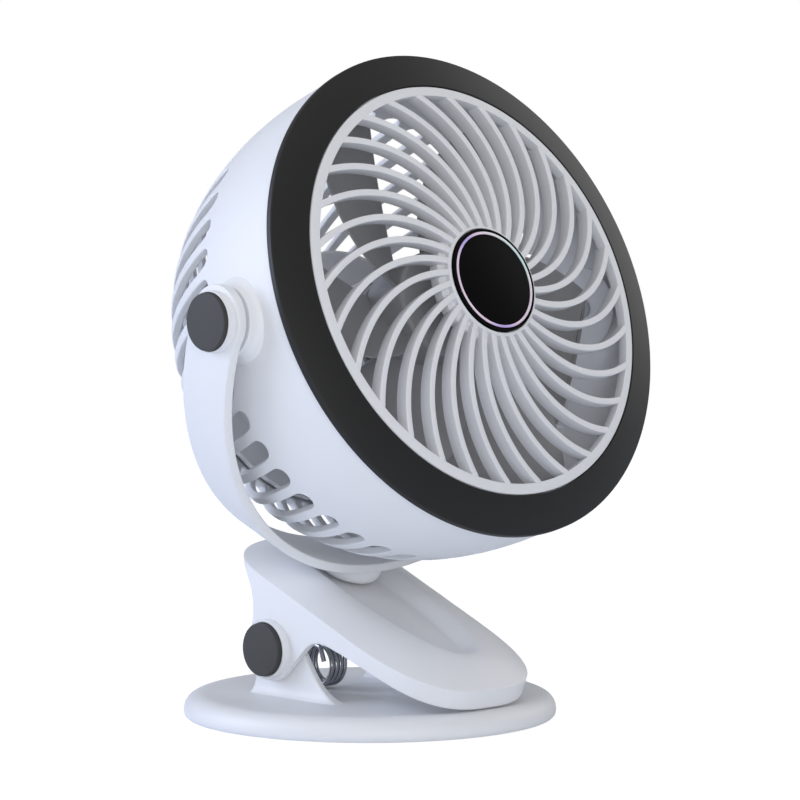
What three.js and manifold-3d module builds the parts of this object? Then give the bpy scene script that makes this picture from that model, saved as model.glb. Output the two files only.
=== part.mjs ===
// A clip fan: a round fan head tilts in a U-shaped yoke, and the yoke swivels on the upper jaw
// of a spring clip that stands on a round base.
// Millimetres, +Z up, front towards -Y, origin at the centre of the underside of the foot pad.
import * as THREE from 'three';
import { mergeVertices } from 'three/addons/utils/BufferGeometryUtils.js';
import Module from 'manifold-3d';

const wasm = await Module();
wasm.setup();

const radians = THREE.MathUtils.degToRad;

// Fits.
const GAP = 0.3; // between two pieces that touch
const RUN = 0.4; // round a shaft that turns

// Base, whose height is that of the pad, the plate, the room over it and the wall.
const BASE_RADIUS = 57.1;
const BASE_WALL = 2.4;
const BASE_PLATE = 1.5; // thickness of the bottom plate
const BASE_ROOM = 1.3; // over the plate, in the middle
const BASE_FALL = 0.8; // from the middle of the base's ceiling to its edge
const BASE_SHOULDER = 3.0; // from the middle of the top down to the upright side
const FOOT_PAD = 1.5; // thickness of the rubber pad
const FOOT_PAD_INSET = 5.1; // from the base's edge
const BASE_TOP = FOOT_PAD + GAP + BASE_PLATE + BASE_ROOM + BASE_WALL;

// Upper jaw, in its own frame, whose edge plane slopes up to the rear.
const JAW_SLOPE = 22.5;
const JAW_Y = 10.97;
const JAW_HALF_WIDTH = 28;
const JAW_STRAIGHT_END = 8; // where the sides' straight stretch ends at the rear
const JAW_WALL = 2.4;
const JAW_CROWN = 5.0; // height of the dome over the edge
const JAW_TAIL = 30; // from the swivel axis to the rear
const SKIRT_TIP = 6.3; // depth of the skirt at the tip
const TIP_STAND = 0.617; // from the base's top up to the skirt's tip
const TIP_INSET = 5.532; // from the base's edge back to the skirt's tip
const TIP_REACH = BASE_RADIUS - TIP_INSET + JAW_Y + SKIRT_TIP * Math.sin(radians(JAW_SLOPE));
const JAW_TIP = TIP_REACH / Math.cos(radians(JAW_SLOPE)); // from the swivel axis forward
const JAW_PAD_LENGTH = 22;
const JAW_PAD_PROUD = 2.1; // how far the rubber pad stands out under the skirt
const RECESS_FRONT = JAW_TIP - 14.3; // from the swivel axis
const RECESS_BESIDE = 4.25; // from the swivel boss to the recess's sides
const RECESS_BEHIND = 3.25; // from the swivel boss to the recess's rear
const RECESS_FLOOR = 2.2; // over the edge plane
const JAW_CEILING = RECESS_FLOOR - JAW_WALL; // over the edge plane
const JAW_Z = BASE_TOP + TIP_STAND
  + JAW_TIP * Math.sin(radians(JAW_SLOPE)) + SKIRT_TIP * Math.cos(radians(JAW_SLOPE));

// Hinge of the clip: stub pins and ears inside the jaw's cheeks, caps in bosses outside them.
const HINGE_Y = 14.8;
const HINGE_Z = 21.4;
const HINGE_IN_JAW = new THREE.Vector2(HINGE_Y - JAW_Y, HINGE_Z - JAW_Z)
  .rotateAround(new THREE.Vector2(), -radians(JAW_SLOPE));
const PIN_RADIUS = 3.0;
const PIN_HEAD = 1.0; // thickness of a pin's head
const PIN_HEAD_LIP = 2.0; // how far the head stands out round the pin
const PIN_INSIDE = 0.8; // how far a pin stands in from its ear
const EAR_THICKNESS = 3.0;
const EAR_INSIDE = JAW_HALF_WIDTH - JAW_WALL - GAP - EAR_THICKNESS; // from the middle plane
const EAR_TOE = 32; // from the hinge forward
const EAR_HEEL = 15; // from the hinge to the rear
const CAP_RADIUS = 8.5;
const CAP_THICKNESS = 2.7;
const CAP_STAND = 0.3; // how far a hinge cap stands out of its boss
const BOSS_LIP = 0.6; // round the cap
const HINGE_BOSS_RADIUS = CAP_RADIUS + GAP + BOSS_LIP;
const HINGE_BOSS_STAND = 3.7; // from the cheek
const HINGE_BOSS_FACE = JAW_HALF_WIDTH + HINGE_BOSS_STAND; // from the middle plane

// Torsion spring.
const WIRE = 1.5;
const COIL_RADIUS = 6.25;
const COIL_TURNS = 3;
const COIL_SPACE = 0.5; // between two turns
const COIL_X = -7;
const COIL_Y = 16.5;
const LEG_SIDESTEP = 10;
const LEG_LEAN = 6.4; // degrees, of the leg's end in front of the hinge

// Head, along the fan axis from the tilt axis, towards the front. The drive stands behind the axis.
const HEAD_TILT = 47.44; // from the swivel axis to the fan axis
const BLADES = 6;
const BLADE_THICKNESS = 1.6;
const BLADE_FRONT = 9;
const BLADE_REAR = -7;
const BLADE_CLEARANCE = 8.8; // from the tips to the shell
const BLADE_MIDDLE = 53; // the radius at which a blade's two edges have their set angles
const ROTOR_HUB_RADIUS = 17;
const SHAFT_RADIUS = 1.5;
const SHAFT_SEAT = 8; // how deep the shaft stands in the motor
const MOTOR_RADIUS = 15;
const MOTOR_LENGTH = 22;
const MOTOR_GAP = 4; // between the rotor and the motor
const MOTOR_FRONT = BLADE_REAR - MOTOR_GAP;
const MOTOR_BEHIND = 3; // how far the motor stands out behind its housing's front
const SLEEVE_LENGTH = 15;
const DRIVE_ROOM = 6.7; // between the motor and the battery
const BATTERY_WIDTH = 46;
const BATTERY_HEIGHT = 32;
const BATTERY_LENGTH = 18;
const BATTERY_CORNER = 5;
const BOARD_THICKNESS = 1.6;
const HOUSING_WALL = 2;
const HOUSING_ROOM = 1.48; // round the battery's corners
const HOUSING_RADIUS = Math.hypot(BATTERY_WIDTH, BATTERY_HEIGHT) / 2 + HOUSING_ROOM + HOUSING_WALL;
const HOUSING_FRONT = MOTOR_FRONT - MOTOR_LENGTH + MOTOR_BEHIND;
const BUTTON_RADIUS = 6;
const BUTTON_HEIGHT = 14;
const SOCKET_DROP = 16;
const SOCKET_WIDTH = 9;
const SOCKET_HEIGHT = 3.2;

// Rear shell, whose depth holds the motor, the battery and the rear cap.
const SHELL_RADIUS = 74.3;
const SHELL_BEND = 9.08; // where the straight side ends
const SHELL_WALL = 2.5;
const CAP_ROOM = 11.92; // from the battery to the rear pole
const SHELL_DEPTH = SHELL_BEND - MOTOR_FRONT + MOTOR_LENGTH + DRIVE_ROOM + BATTERY_LENGTH + CAP_ROOM;
const SHELL_BOSS_RADIUS = 8.5;
const SLOTS = 45;
const SLOT_ANGLE = 5.2;
const SLOT_PHASE = -54.5;
const SLOT_SWIRL = 7;
const SLOT_FIRST = 14.3; // degrees along the meridian, from the bend to the rear pole
const SLOT_LAST = 62.9;
const CAP_EDGE = SLOT_LAST + 4.6;
const BLADE_TIP = SHELL_RADIUS - SHELL_WALL - BLADE_CLEARANCE;

// The meridian of the rear shell, by its angle from the bend to the rear pole.
function meridian(angle, inset = 0) {
  const at = (a) => {
    const back = Math.sin(a) ** 0.943;
    const out = Math.cos(a) ** 0.68;
    return new THREE.Vector2(SHELL_RADIUS * out, SHELL_BEND - SHELL_DEPTH * back);
  };
  const a = Math.min(Math.max(radians(angle), 1e-3), Math.PI / 2 - 1e-3);
  const along = at(a + 1e-4).sub(at(a - 1e-4)).normalize();
  return at(a).add(new THREE.Vector2(along.y, -along.x).multiplyScalar(inset));
}

// Trim ring and grille.
const RING_LIP = 0.7; // how far the ring stands out round the shell
const RING_FACE = 11.2; // width of the conical face
const RING_RADIUS = SHELL_RADIUS + RING_LIP;
const RING_BORE = RING_RADIUS - RING_FACE;
const RING_REAR = 18.7;
const RING_SIDE = 1.96;
const RING_RISE = 3.84;
const RING_WALL = 2.4;
const RING_SPIGOT = 3.0; // how deep the ring reaches into the shell
const RING_EDGE = RING_REAR + RING_SIDE;
const RING_FRONT = RING_EDGE + RING_RISE;
const FINS = 30;
const FIN_PHASE = 4.4;
const FIN_CURL = 0.5256; // degrees back for each millimetre outwards, at the hub
const FIN_CURL_GROWTH = 0.0053;
const FIN_WIDTH = 2.0;
const FIN_DEPTH = 7;
const GRILLE_RADIUS = RING_BORE - GAP;
const GRILLE_RIM = 2.4;
const GRILLE_RIM_DEPTH = 6.5;
const GRILLE_SET = 0.1; // from the ring's front edge back
const GRILLE_EDGE = RING_FRONT - GRILLE_SET;
const GRILLE_RISE = 7.2;
const HUB_WALL = 1.0;
const HUB_STEP = 2.2; // how much wider the hub is behind its rim
const HUB_DEPTH = 5;
const BADGE_RADIUS = 15.87;
const BADGE_PROUD = 0.39; // over the crown of the grille's dome
const BADGE_THICKNESS = 1.6;
const BADGE_FACE = GRILLE_EDGE + GRILLE_RISE + BADGE_PROUD;
const BADGE_MARGIN = 0.97; // outside the badge's thin ring
const BADGE_LINE = 0.8; // width of the ring
const BADGE_GROOVE = 0.4;

// Yoke, which clears the head all round. Its height over the jaw follows from its swivel boss.
const HEAD_CLEARANCE = 1.71;
const RING_REACH = Math.hypot(RING_RADIUS, RING_EDGE); // from the tilt axis
const SHELL_REACH = Math.max(...[0, 15, 30, 45, 60, 75].map((angle) => meridian(angle).length()));
const YOKE_INSIDE = Math.max(RING_REACH, SHELL_REACH) + HEAD_CLEARANCE;
const YOKE_THICKNESS = 3.0;
const COLLAR_LIP = 1.2; // round the cap
const COLLAR_RADIUS = CAP_RADIUS + GAP + COLLAR_LIP;
const COLLAR_STAND = 1.4;
const ARM_MARGIN = 1.3; // round the collar
const ARM_END_RADIUS = COLLAR_RADIUS + ARM_MARGIN;
const ARM_NECK = 1.3; // how much narrower the arm is on each side
const YOKE_HALF_WIDTH = ARM_END_RADIUS - ARM_NECK;
const TILT_CAP_STAND = 1.8; // from the collar
const TILT_SEAT_DEPTH = 0.4; // of the collar's recess, below the arm's face
const SWIVEL_BOSS_RADIUS = 9.75;
const SWIVEL_BOSS_HEIGHT = 8.0; // from the inside of the yoke
const SWIVEL_BOSS_ROUND = 4.0; // of its rounded foot
const SWIVEL_BOSS_FOOT = YOKE_INSIDE + SWIVEL_BOSS_HEIGHT;
const SWIVEL_GAP = 0.5; // between the boss and the floor of the recess
const SWIVEL_SCREW_RADIUS = 2.0;
const SWIVEL_WASHER_RADIUS = 6.0;
const SWIVEL_WASHER = 1.0; // thickness
const YOKE_HEIGHT = SWIVEL_BOSS_FOOT + SWIVEL_GAP + RECESS_FLOOR; // from the edge plane to the tilt axis

const LARGE = 56; // sides of a large circle
const MIDDLE = 30; // sides of a middling circle
const SMALL = 20; // sides of a small circle
const FINE = 12; // sides of a pin
const WIRE_SIDES = 5;

const white = { color: 0xe2e4ec, roughness: 0.45, metalness: 0 };
const black = { color: 0x29292c, roughness: 0.5, metalness: 0 };
const grey = { color: 0x6c6d72, roughness: 0.5, metalness: 0 };
const rubber = { color: 0x2c2c2e, roughness: 0.9, metalness: 0 };
const steel = { color: 0x8b8d92, roughness: 0.3, metalness: 1 };

// ---- Solids ----

// Merges the seams of a closed skin, drops its collapsed triangles and turns its faces outward.
function closed(geometry) {
  const bare = geometry.clone();
  bare.deleteAttribute('normal');
  bare.deleteAttribute('uv');
  bare.clearGroups();
  const merged = mergeVertices(bare, 1e-4);
  const corners = merged.index.array;
  const points = [new THREE.Vector3(), new THREE.Vector3(), new THREE.Vector3()];
  const kept = [];
  let volume = 0;
  for (let i = 0; i < corners.length; i += 3) {
    const face = [corners[i], corners[i + 1], corners[i + 2]];
    if (new Set(face).size < 3) continue;
    face.forEach((corner, k) => points[k].fromBufferAttribute(merged.attributes.position, corner));
    volume += points[0].dot(points[1].clone().cross(points[2]));
    kept.push(...face);
  }
  if (volume < 0) kept.reverse();
  merged.setIndex(kept);
  return merged;
}

function toSolid(geometry) {
  const skin = closed(geometry);
  const vertProperties = new Float32Array(skin.attributes.position.array);
  const triVerts = new Uint32Array(skin.index.array);
  return new wasm.Manifold(new wasm.Mesh({ numProp: 3, vertProperties, triVerts }));
}

function toGeometry(solid) {
  const mesh = solid.getMesh();
  const geometry = new THREE.BufferGeometry();
  geometry.setAttribute('position', new THREE.BufferAttribute(mesh.vertProperties, 3));
  geometry.setIndex(new THREE.BufferAttribute(mesh.triVerts, 1));
  return geometry;
}

function joined(first, ...others) {
  return toGeometry(others.reduce((sum, other) => sum.add(toSolid(other)), toSolid(first)));
}

function cut(body, ...cutters) {
  return toGeometry(cutters.reduce((rest, cutter) => rest.subtract(toSolid(cutter)), toSolid(body)));
}

function common(first, second) {
  return toGeometry(toSolid(first).intersect(toSolid(second)));
}

// Revolves a profile of [radius, height] points round Z. A profile off the axis closes on itself.
function revolved(profile, sides = SMALL) {
  const points = profile.map(([radius, height]) => new THREE.Vector2(radius, height));
  const open = points[0].x === 0 && points[points.length - 1].x === 0;
  if (!open) points.push(points[0].clone());
  return closed(new THREE.LatheGeometry(points, sides).rotateX(Math.PI / 2));
}

function cylinder(radius, from, to, sides = SMALL) {
  return revolved([[0, from], [radius, from], [radius, to], [0, to]], sides);
}

// Turns a solid that was made round Z so that its axis runs along X.
function alongX(geometry) {
  return geometry.rotateY(Math.PI / 2);
}

function extruded(shape, depth, curveSegments = 6) {
  return new THREE.ExtrudeGeometry(shape, { depth, bevelEnabled: false, curveSegments });
}

// An outline of [y, z] points, extruded along X between two places.
function sidePlate(shape, from, to, curveSegments) {
  const plate = extruded(shape, to - from, curveSegments);
  return plate.rotateX(Math.PI / 2).rotateZ(Math.PI / 2).translate(from, 0, 0);
}

// Skins a row of rings that have the same number of points, with a fan over each end.
function lofted(rings) {
  const count = rings[0].length;
  const positions = rings.flat().flatMap((point) => point.toArray());
  const index = [];
  for (let start = 0; start < (rings.length - 1) * count; start += count) {
    for (let i = 0; i < count; i++) {
      const a = start + i;
      const b = start + (i + 1) % count;
      index.push(a, b, b + count, a, b + count, a + count);
    }
  }
  const ends = [[0, 1], [rings.length - 1, 0]];
  for (const [ring, flip] of ends) {
    const middle = new THREE.Vector3();
    rings[ring].forEach((point) => middle.addScaledVector(point, 1 / count));
    const centre = positions.length / 3;
    positions.push(...middle.toArray());
    for (let i = 0; i < count; i++) {
      const a = ring * count + (i + flip) % count;
      const b = ring * count + (i + 1 - flip) % count;
      index.push(centre, a, b);
    }
  }
  const geometry = new THREE.BufferGeometry();
  geometry.setAttribute('position', new THREE.Float32BufferAttribute(positions, 3));
  geometry.setIndex(index);
  return closed(geometry);
}

function roundedBox(width, height, depth, corner) {
  const x = width / 2 - corner;
  const y = height / 2 - corner;
  const shape = new THREE.Shape();
  shape.absarc(x, y, corner, 0, Math.PI / 2);
  shape.absarc(-x, y, corner, Math.PI / 2, Math.PI);
  shape.absarc(-x, -y, corner, Math.PI, Math.PI * 1.5);
  shape.absarc(x, -y, corner, Math.PI * 1.5, Math.PI * 2);
  return extruded(shape, depth, 2);
}

function piece(name, geometry, look) {
  const mesh = new THREE.Mesh(geometry, new THREE.MeshStandardMaterial(look));
  mesh.name = name;
  return mesh;
}

// ---- Base ----

function baseShell() {
  const inside = BASE_RADIUS - BASE_WALL;
  const dish = revolved([
    [0, BASE_TOP],
    [BASE_RADIUS - 7, BASE_TOP - 0.15],
    [BASE_RADIUS - 2.6, BASE_TOP - 0.7],
    [BASE_RADIUS - 0.6, BASE_TOP - 1.7],
    [BASE_RADIUS, BASE_TOP - BASE_SHOULDER],
    [BASE_RADIUS, GAP],
    [inside, GAP],
    [inside, BASE_TOP - BASE_WALL - BASE_FALL],
    [0, BASE_TOP - BASE_WALL],
  ], LARGE);
  const reach = EAR_INSIDE + EAR_THICKNESS + 1;
  const bore = alongX(cylinder(PIN_RADIUS + RUN, -reach, reach, FINE)).translate(0, HINGE_Y, HINGE_Z);
  return cut(joined(dish, ear(-1), ear(1)), bore);
}

// One of the two ears that carry the hinge, with a swept front edge and a flared foot.
function ear(side) {
  const foot = BASE_TOP - 1;
  const toe = HINGE_Y - EAR_TOE;
  const heel = HINGE_Y + EAR_HEEL;
  const behind = HINGE_Y + HINGE_BOSS_RADIUS;
  const meeting = Math.PI * 0.72; // where the swept edge runs into the round top
  const outline = new THREE.Shape();
  outline.moveTo(toe, foot);
  outline.bezierCurveTo(
    toe + EAR_TOE * 0.375,
    foot + 3,
    toe + EAR_TOE * 0.375,
    HINGE_Z - 4.4,
    HINGE_Y + HINGE_BOSS_RADIUS * Math.cos(meeting),
    HINGE_Z + HINGE_BOSS_RADIUS * Math.sin(meeting),
  );
  outline.absarc(HINGE_Y, HINGE_Z, HINGE_BOSS_RADIUS, meeting, 0, true);
  outline.quadraticCurveTo(behind, BASE_TOP, heel, foot);
  const inner = side * EAR_INSIDE;
  const outer = side * (EAR_INSIDE + EAR_THICKNESS);
  return sidePlate(outline, Math.min(inner, outer), Math.max(inner, outer), 6);
}

const PLATE_UNDER = FOOT_PAD + GAP;
const PLATE_RADIUS = BASE_RADIUS - BASE_WALL - GAP;

function basePlate() {
  return cylinder(PLATE_RADIUS, PLATE_UNDER, PLATE_UNDER + BASE_PLATE, LARGE);
}

function footPad() {
  return cylinder(BASE_RADIUS - FOOT_PAD_INSET, 0, FOOT_PAD, LARGE);
}

// ---- Spring ----

// The wire's middle line: an end across the bore, the turns, and a leg up to the jaw's ceiling.
function springPoints() {
  const z = BASE_TOP + GAP + COIL_RADIUS + WIRE / 2;
  const points = [];
  const start = Math.PI * 0.62;
  const steps = 12;
  const sweep = COIL_TURNS * Math.PI * 2 + Math.PI - start;
  const turns = Math.round(steps * sweep / (Math.PI * 2));
  for (let i = 0; i <= turns; i++) {
    const angle = start + sweep * i / turns;
    const x = COIL_X + (WIRE + COIL_SPACE) * (angle - start) / (Math.PI * 2);
    const y = COIL_Y + COIL_RADIUS * Math.cos(angle);
    points.push(new THREE.Vector3(x, y, z + COIL_RADIUS * Math.sin(angle)));
  }
  const first = points[0];
  const last = points[points.length - 1];
  points.unshift(new THREE.Vector3(first.x - 0.3, first.y + WIRE, first.z - 0.4));
  points.unshift(new THREE.Vector3(first.x - 0.6, COIL_Y + 1.2, z - 1.0));
  points.push(new THREE.Vector3(last.x + 0.6, last.y, last.z + 3));
  const reach = JAW_CEILING - HINGE_IN_JAW.y - WIRE / 2 - GAP; // as the ceiling passes at any opening
  const lean = radians(LEG_LEAN);
  const end = [HINGE_Y - reach * Math.sin(lean), HINGE_Z + reach * Math.cos(lean)];
  points.push(new THREE.Vector3(last.x + LEG_SIDESTEP, ...end));
  return points;
}

// The least clear gap between stretches of the wire that lie further apart along it than a turn's half.
function leastGap(points) {
  const samples = new THREE.CurvePath();
  points.slice(1).forEach((point, i) => samples.add(new THREE.LineCurve3(points[i], point)));
  const count = Math.ceil(samples.getLength() / 0.5);
  const dense = samples.getSpacedPoints(count);
  const apart = Math.PI * COIL_RADIUS;
  let least = Infinity;
  for (let i = 0; i < dense.length; i++) {
    for (let j = i + Math.ceil(apart / 0.5); j < dense.length; j++) {
      least = Math.min(least, dense[i].distanceTo(dense[j]));
    }
  }
  return least - WIRE;
}

// One unbroken wire.
function torsionSpring() {
  const points = springPoints();
  console.log(`torsion_spring least gap to itself: ${leastGap(points).toFixed(2)} mm`);
  const rings = points.map((point, i) => {
    const before = points[Math.max(i - 1, 0)];
    const after = points[Math.min(i + 1, points.length - 1)];
    const along = after.clone().sub(before).normalize();
    const across = new THREE.Vector3(1, 0, 0).projectOnPlane(along).normalize();
    const up = along.clone().cross(across);
    return Array.from({ length: WIRE_SIDES }, (_, k) => {
      const angle = k * Math.PI * 2 / WIRE_SIDES;
      const offset = across.clone().multiplyScalar(Math.cos(angle)).addScaledVector(up, Math.sin(angle));
      return point.clone().addScaledVector(offset, WIRE / 2);
    });
  });
  return lofted(rings);
}

// ---- Upper jaw, in its own frame: +Z square to its top, +Y to the rear ----

// The outline drawn in by an inset: straight sides between two superelliptic ends.
function jawRing(inset, height) {
  const front = -JAW_HALF_WIDTH;
  const half = JAW_HALF_WIDTH - inset;
  const count = 44;
  return Array.from({ length: count }, (_, k) => {
    const angle = (k + 0.5) / count * Math.PI * 2;
    const atFront = Math.sin(angle) < 0;
    const power = atFront ? 2 / 2.9 : 2 / 2.5;
    const length = (atFront ? JAW_TIP + front : JAW_TAIL - JAW_STRAIGHT_END) - inset;
    const x = half * Math.sign(Math.cos(angle)) * Math.abs(Math.cos(angle)) ** power;
    const y = length * Math.sign(Math.sin(angle)) * Math.abs(Math.sin(angle)) ** power;
    return new THREE.Vector3(x, y + (atFront ? front : JAW_STRAIGHT_END), height);
  });
}

// The side view of the jaw: a shallow skirt in front, and a cheek down to the hinge.
function jawSide() {
  const { x: y, y: z } = HINGE_IN_JAW;
  const cheek = HINGE_BOSS_RADIUS + 0.5;
  const shape = new THREE.Shape();
  const above = JAW_CROWN + 5;
  shape.moveTo(-JAW_TIP - 5, above);
  shape.lineTo(-JAW_TIP - 5, -SKIRT_TIP - 0.3);
  shape.lineTo(-JAW_TIP, -SKIRT_TIP);
  shape.lineTo(-44, -5.2);
  shape.splineThru([
    new THREE.Vector2(-31, -5.9),
    new THREE.Vector2(-23, -7.0),
    new THREE.Vector2(-19.4, -9.6),
    new THREE.Vector2(-16.9, -14.2),
    new THREE.Vector2(y - 11.4, z - 1.6),
  ]);
  shape.absarc(y, z, cheek, radians(200), radians(360), false);
  shape.splineThru([
    new THREE.Vector2(y + 10.4, z + 4.5),
    new THREE.Vector2(y + 13, z + 9.9),
    new THREE.Vector2(y + 17, z + 14.3),
    new THREE.Vector2(y + 22.5, z + 17.2),
  ]);
  shape.lineTo(JAW_TAIL + 5, -1.2);
  shape.lineTo(JAW_TAIL + 5, above);
  return sidePlate(shape, -JAW_HALF_WIDTH - 5, JAW_HALF_WIDTH + 5, 4);
}

const RECESS_HALF_WIDTH = SWIVEL_BOSS_RADIUS + RECESS_BESIDE;
const RECESS_REAR = SWIVEL_BOSS_RADIUS + RECESS_BEHIND;

// The long dish in the dome: its wall eases in from the rim and out again to the flat floor.
function jawRecess() {
  const deep = JAW_CROWN - RECESS_FLOOR;
  const wall = [[0, 2], [0, 0], [1.4, -deep * 0.3], [3.4, -deep * 0.8], [5.2, -deep]];
  const rings = wall.map(([inset, height]) => {
    const count = 28;
    return Array.from({ length: count }, (_, k) => {
      const angle = k / count * Math.PI * 2;
      const length = (Math.sin(angle) < 0 ? RECESS_FRONT : RECESS_REAR) - inset;
      const x = (RECESS_HALF_WIDTH - inset) * Math.cos(angle);
      return new THREE.Vector3(x, length * Math.sin(angle), JAW_CROWN + height);
    });
  });
  return lofted(rings);
}

const BOSS_SEAT = HINGE_BOSS_FACE - CAP_THICKNESS; // floor of the boss's recess

function clipLever() {
  const { x: y, y: z } = HINGE_IN_JAW;
  const under = z - HINGE_BOSS_RADIUS - 5;
  const dome = [0, 0.25, 0.5, 0.75, 1].map((share) => {
    const height = JAW_CROWN * Math.sin(share * Math.PI / 2);
    return jawRing(share * (JAW_HALF_WIDTH - RECESS_HALF_WIDTH), height);
  });
  const outer = lofted([jawRing(0, under), ...dome]);
  const inner = lofted([
    jawRing(JAW_WALL, under - 1),
    jawRing(JAW_WALL, JAW_CEILING - 1.8),
    jawRing(JAW_WALL + 2, JAW_CEILING),
  ]);
  const reach = [JAW_HALF_WIDTH - 1, HINGE_BOSS_FACE];
  const open = HINGE_BOSS_FACE + 5;
  const bosses = [-1, 1].map((side) => turned(cylinder(HINGE_BOSS_RADIUS, ...reach), side, y, z));
  const seats = [-1, 1].map((side) => turned(cylinder(CAP_RADIUS + GAP, BOSS_SEAT, open), side, y, z));
  const bore = alongX(cylinder(PIN_RADIUS + GAP, -open, open, FINE)).translate(0, y, z);
  const swivelBore = cylinder(SWIVEL_SCREW_RADIUS + RUN, JAW_CEILING - 5, JAW_CROWN + 5, FINE);
  const form = joined(common(cut(outer, inner), jawSide()), ...bosses);
  return cut(form, jawRecess(), ...seats, bore, swivelBore);
}

// Lays a solid made up +Z along the X axis of one side, at a place in the side view.
function turned(geometry, side, y, z) {
  return geometry.rotateY(side * Math.PI / 2).translate(0, y, z);
}

function jawPad() {
  const inset = JAW_WALL + GAP;
  const foot = -SKIRT_TIP - JAW_PAD_PROUD;
  const top = JAW_CEILING - 2.2;
  const whole = lofted([jawRing(inset + 1.4, foot), jawRing(inset, foot + 1), jawRing(inset, top)]);
  const [side, rear] = [JAW_HALF_WIDTH + 5, -JAW_TIP + JAW_PAD_LENGTH];
  const front = extruded(new THREE.Shape([
    new THREE.Vector2(-side, -JAW_TIP - 5),
    new THREE.Vector2(side, -JAW_TIP - 5),
    new THREE.Vector2(side, rear),
    new THREE.Vector2(-side, rear),
  ]), JAW_CEILING - foot).translate(0, 0, foot - 1);
  return common(whole, front);
}

// A stub pin with a flat head that lies on its seat.
function headedPin(from, seat) {
  const head = PIN_RADIUS + PIN_HEAD_LIP;
  return revolved([
    [0, from],
    [PIN_RADIUS, from],
    [PIN_RADIUS, seat + GAP],
    [head, seat + GAP],
    [head, seat + GAP + PIN_HEAD],
    [0, seat + GAP + PIN_HEAD],
  ], FINE);
}

// A round cap that is hollowed to clear the head of the pin behind it.
function pinCap(seat, face) {
  const hollow = seat + PIN_HEAD + RUN;
  const pinHead = PIN_RADIUS + PIN_HEAD_LIP;
  return revolved([
    [0, hollow],
    [pinHead + GAP, hollow],
    [pinHead + GAP, seat],
    [CAP_RADIUS, seat],
    [CAP_RADIUS, face - 0.7],
    [CAP_RADIUS - 0.7, face],
    [0, face],
  ]);
}

const JAW_UNDER = YOKE_HEIGHT - JAW_CEILING; // from the tilt axis down to the jaw's ceiling

function swivelWasher() {
  const top = -JAW_UNDER - GAP;
  return revolved([
    [SWIVEL_SCREW_RADIUS + GAP, top - SWIVEL_WASHER],
    [SWIVEL_WASHER_RADIUS, top - SWIVEL_WASHER],
    [SWIVEL_WASHER_RADIUS, top],
    [SWIVEL_SCREW_RADIUS + GAP, top],
  ], FINE);
}

// ---- Yoke, in a frame at the tilt axis: +Z away from the jaw ----

const TILT_SEAT = YOKE_INSIDE + YOKE_THICKNESS - TILT_SEAT_DEPTH;
const SCREW_TOP = -YOKE_INSIDE - 2;

function yoke() {
  const outside = YOKE_INSIDE + YOKE_THICKNESS;
  const shape = new THREE.Shape();
  shape.moveTo(-outside, ARM_END_RADIUS + 1);
  shape.lineTo(-outside, 0);
  shape.absarc(0, 0, outside, Math.PI, Math.PI * 2, false);
  shape.lineTo(outside, ARM_END_RADIUS + 1);
  shape.lineTo(YOKE_INSIDE, ARM_END_RADIUS + 1);
  shape.lineTo(YOKE_INSIDE, 0);
  shape.absarc(0, 0, YOKE_INSIDE, Math.PI * 2, Math.PI, true);
  shape.lineTo(-YOKE_INSIDE, ARM_END_RADIUS + 1);
  const wide = ARM_END_RADIUS + 1;
  const bow = extruded(shape, 2 * wide, 16).rotateX(Math.PI / 2).translate(0, wide, 0);

  const side = new THREE.Shape();
  const neck = Math.acos(YOKE_HALF_WIDTH / ARM_END_RADIUS);
  side.moveTo(-YOKE_HALF_WIDTH, -outside - 2);
  side.lineTo(YOKE_HALF_WIDTH, -outside - 2);
  side.absarc(0, 0, ARM_END_RADIUS, -neck, Math.PI + neck, false);
  const band = common(bow, sidePlate(side, -outside - 1, outside + 1, 9));

  const open = outside + COLLAR_STAND + 5;
  const collars = [-1, 1].map((end) => turned(revolved([
    [0, YOKE_INSIDE + 1],
    [COLLAR_RADIUS, YOKE_INSIDE + 1],
    [COLLAR_RADIUS, outside + COLLAR_STAND - 0.5],
    [COLLAR_RADIUS - 0.5, outside + COLLAR_STAND],
    [0, outside + COLLAR_STAND],
  ]), end, 0, 0));
  const foot = [0, 0.33, 0.67, 1].map((share) => {
    const angle = share * Math.PI / 2;
    const radius = SWIVEL_BOSS_RADIUS - SWIVEL_BOSS_ROUND * (1 - Math.cos(angle));
    return [radius, -SWIVEL_BOSS_FOOT + SWIVEL_BOSS_ROUND * (1 - Math.sin(angle))];
  });
  const boss = revolved([
    [0, -YOKE_INSIDE - 1],
    [SWIVEL_BOSS_RADIUS, -YOKE_INSIDE - 1],
    ...foot,
    [0, -SWIVEL_BOSS_FOOT],
  ], MIDDLE);
  const seats = [-1, 1].map((end) => turned(cylinder(CAP_RADIUS + GAP, TILT_SEAT, open), end, 0, 0));
  const pinBore = alongX(cylinder(PIN_RADIUS + GAP, -open, open, FINE));
  const screwBore = cylinder(SWIVEL_SCREW_RADIUS + GAP, -SWIVEL_BOSS_FOOT - 1, SCREW_TOP + 0.5, FINE);
  return cut(joined(band, ...collars, boss), ...seats, pinBore, screwBore);
}

function swivelScrew() {
  const seat = -JAW_UNDER - 2 * GAP - SWIVEL_WASHER;
  return revolved([
    [0, SCREW_TOP],
    [SWIVEL_SCREW_RADIUS, SCREW_TOP],
    [SWIVEL_SCREW_RADIUS, seat],
    [SWIVEL_SCREW_RADIUS * 2, seat],
    [SWIVEL_SCREW_RADIUS * 2, seat - SWIVEL_SCREW_RADIUS],
    [0, seat - SWIVEL_SCREW_RADIUS * 1.3],
  ], FINE);
}

// ---- Head, in the fan's frame: +Z to the front along the fan axis, +Y up ----

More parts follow.
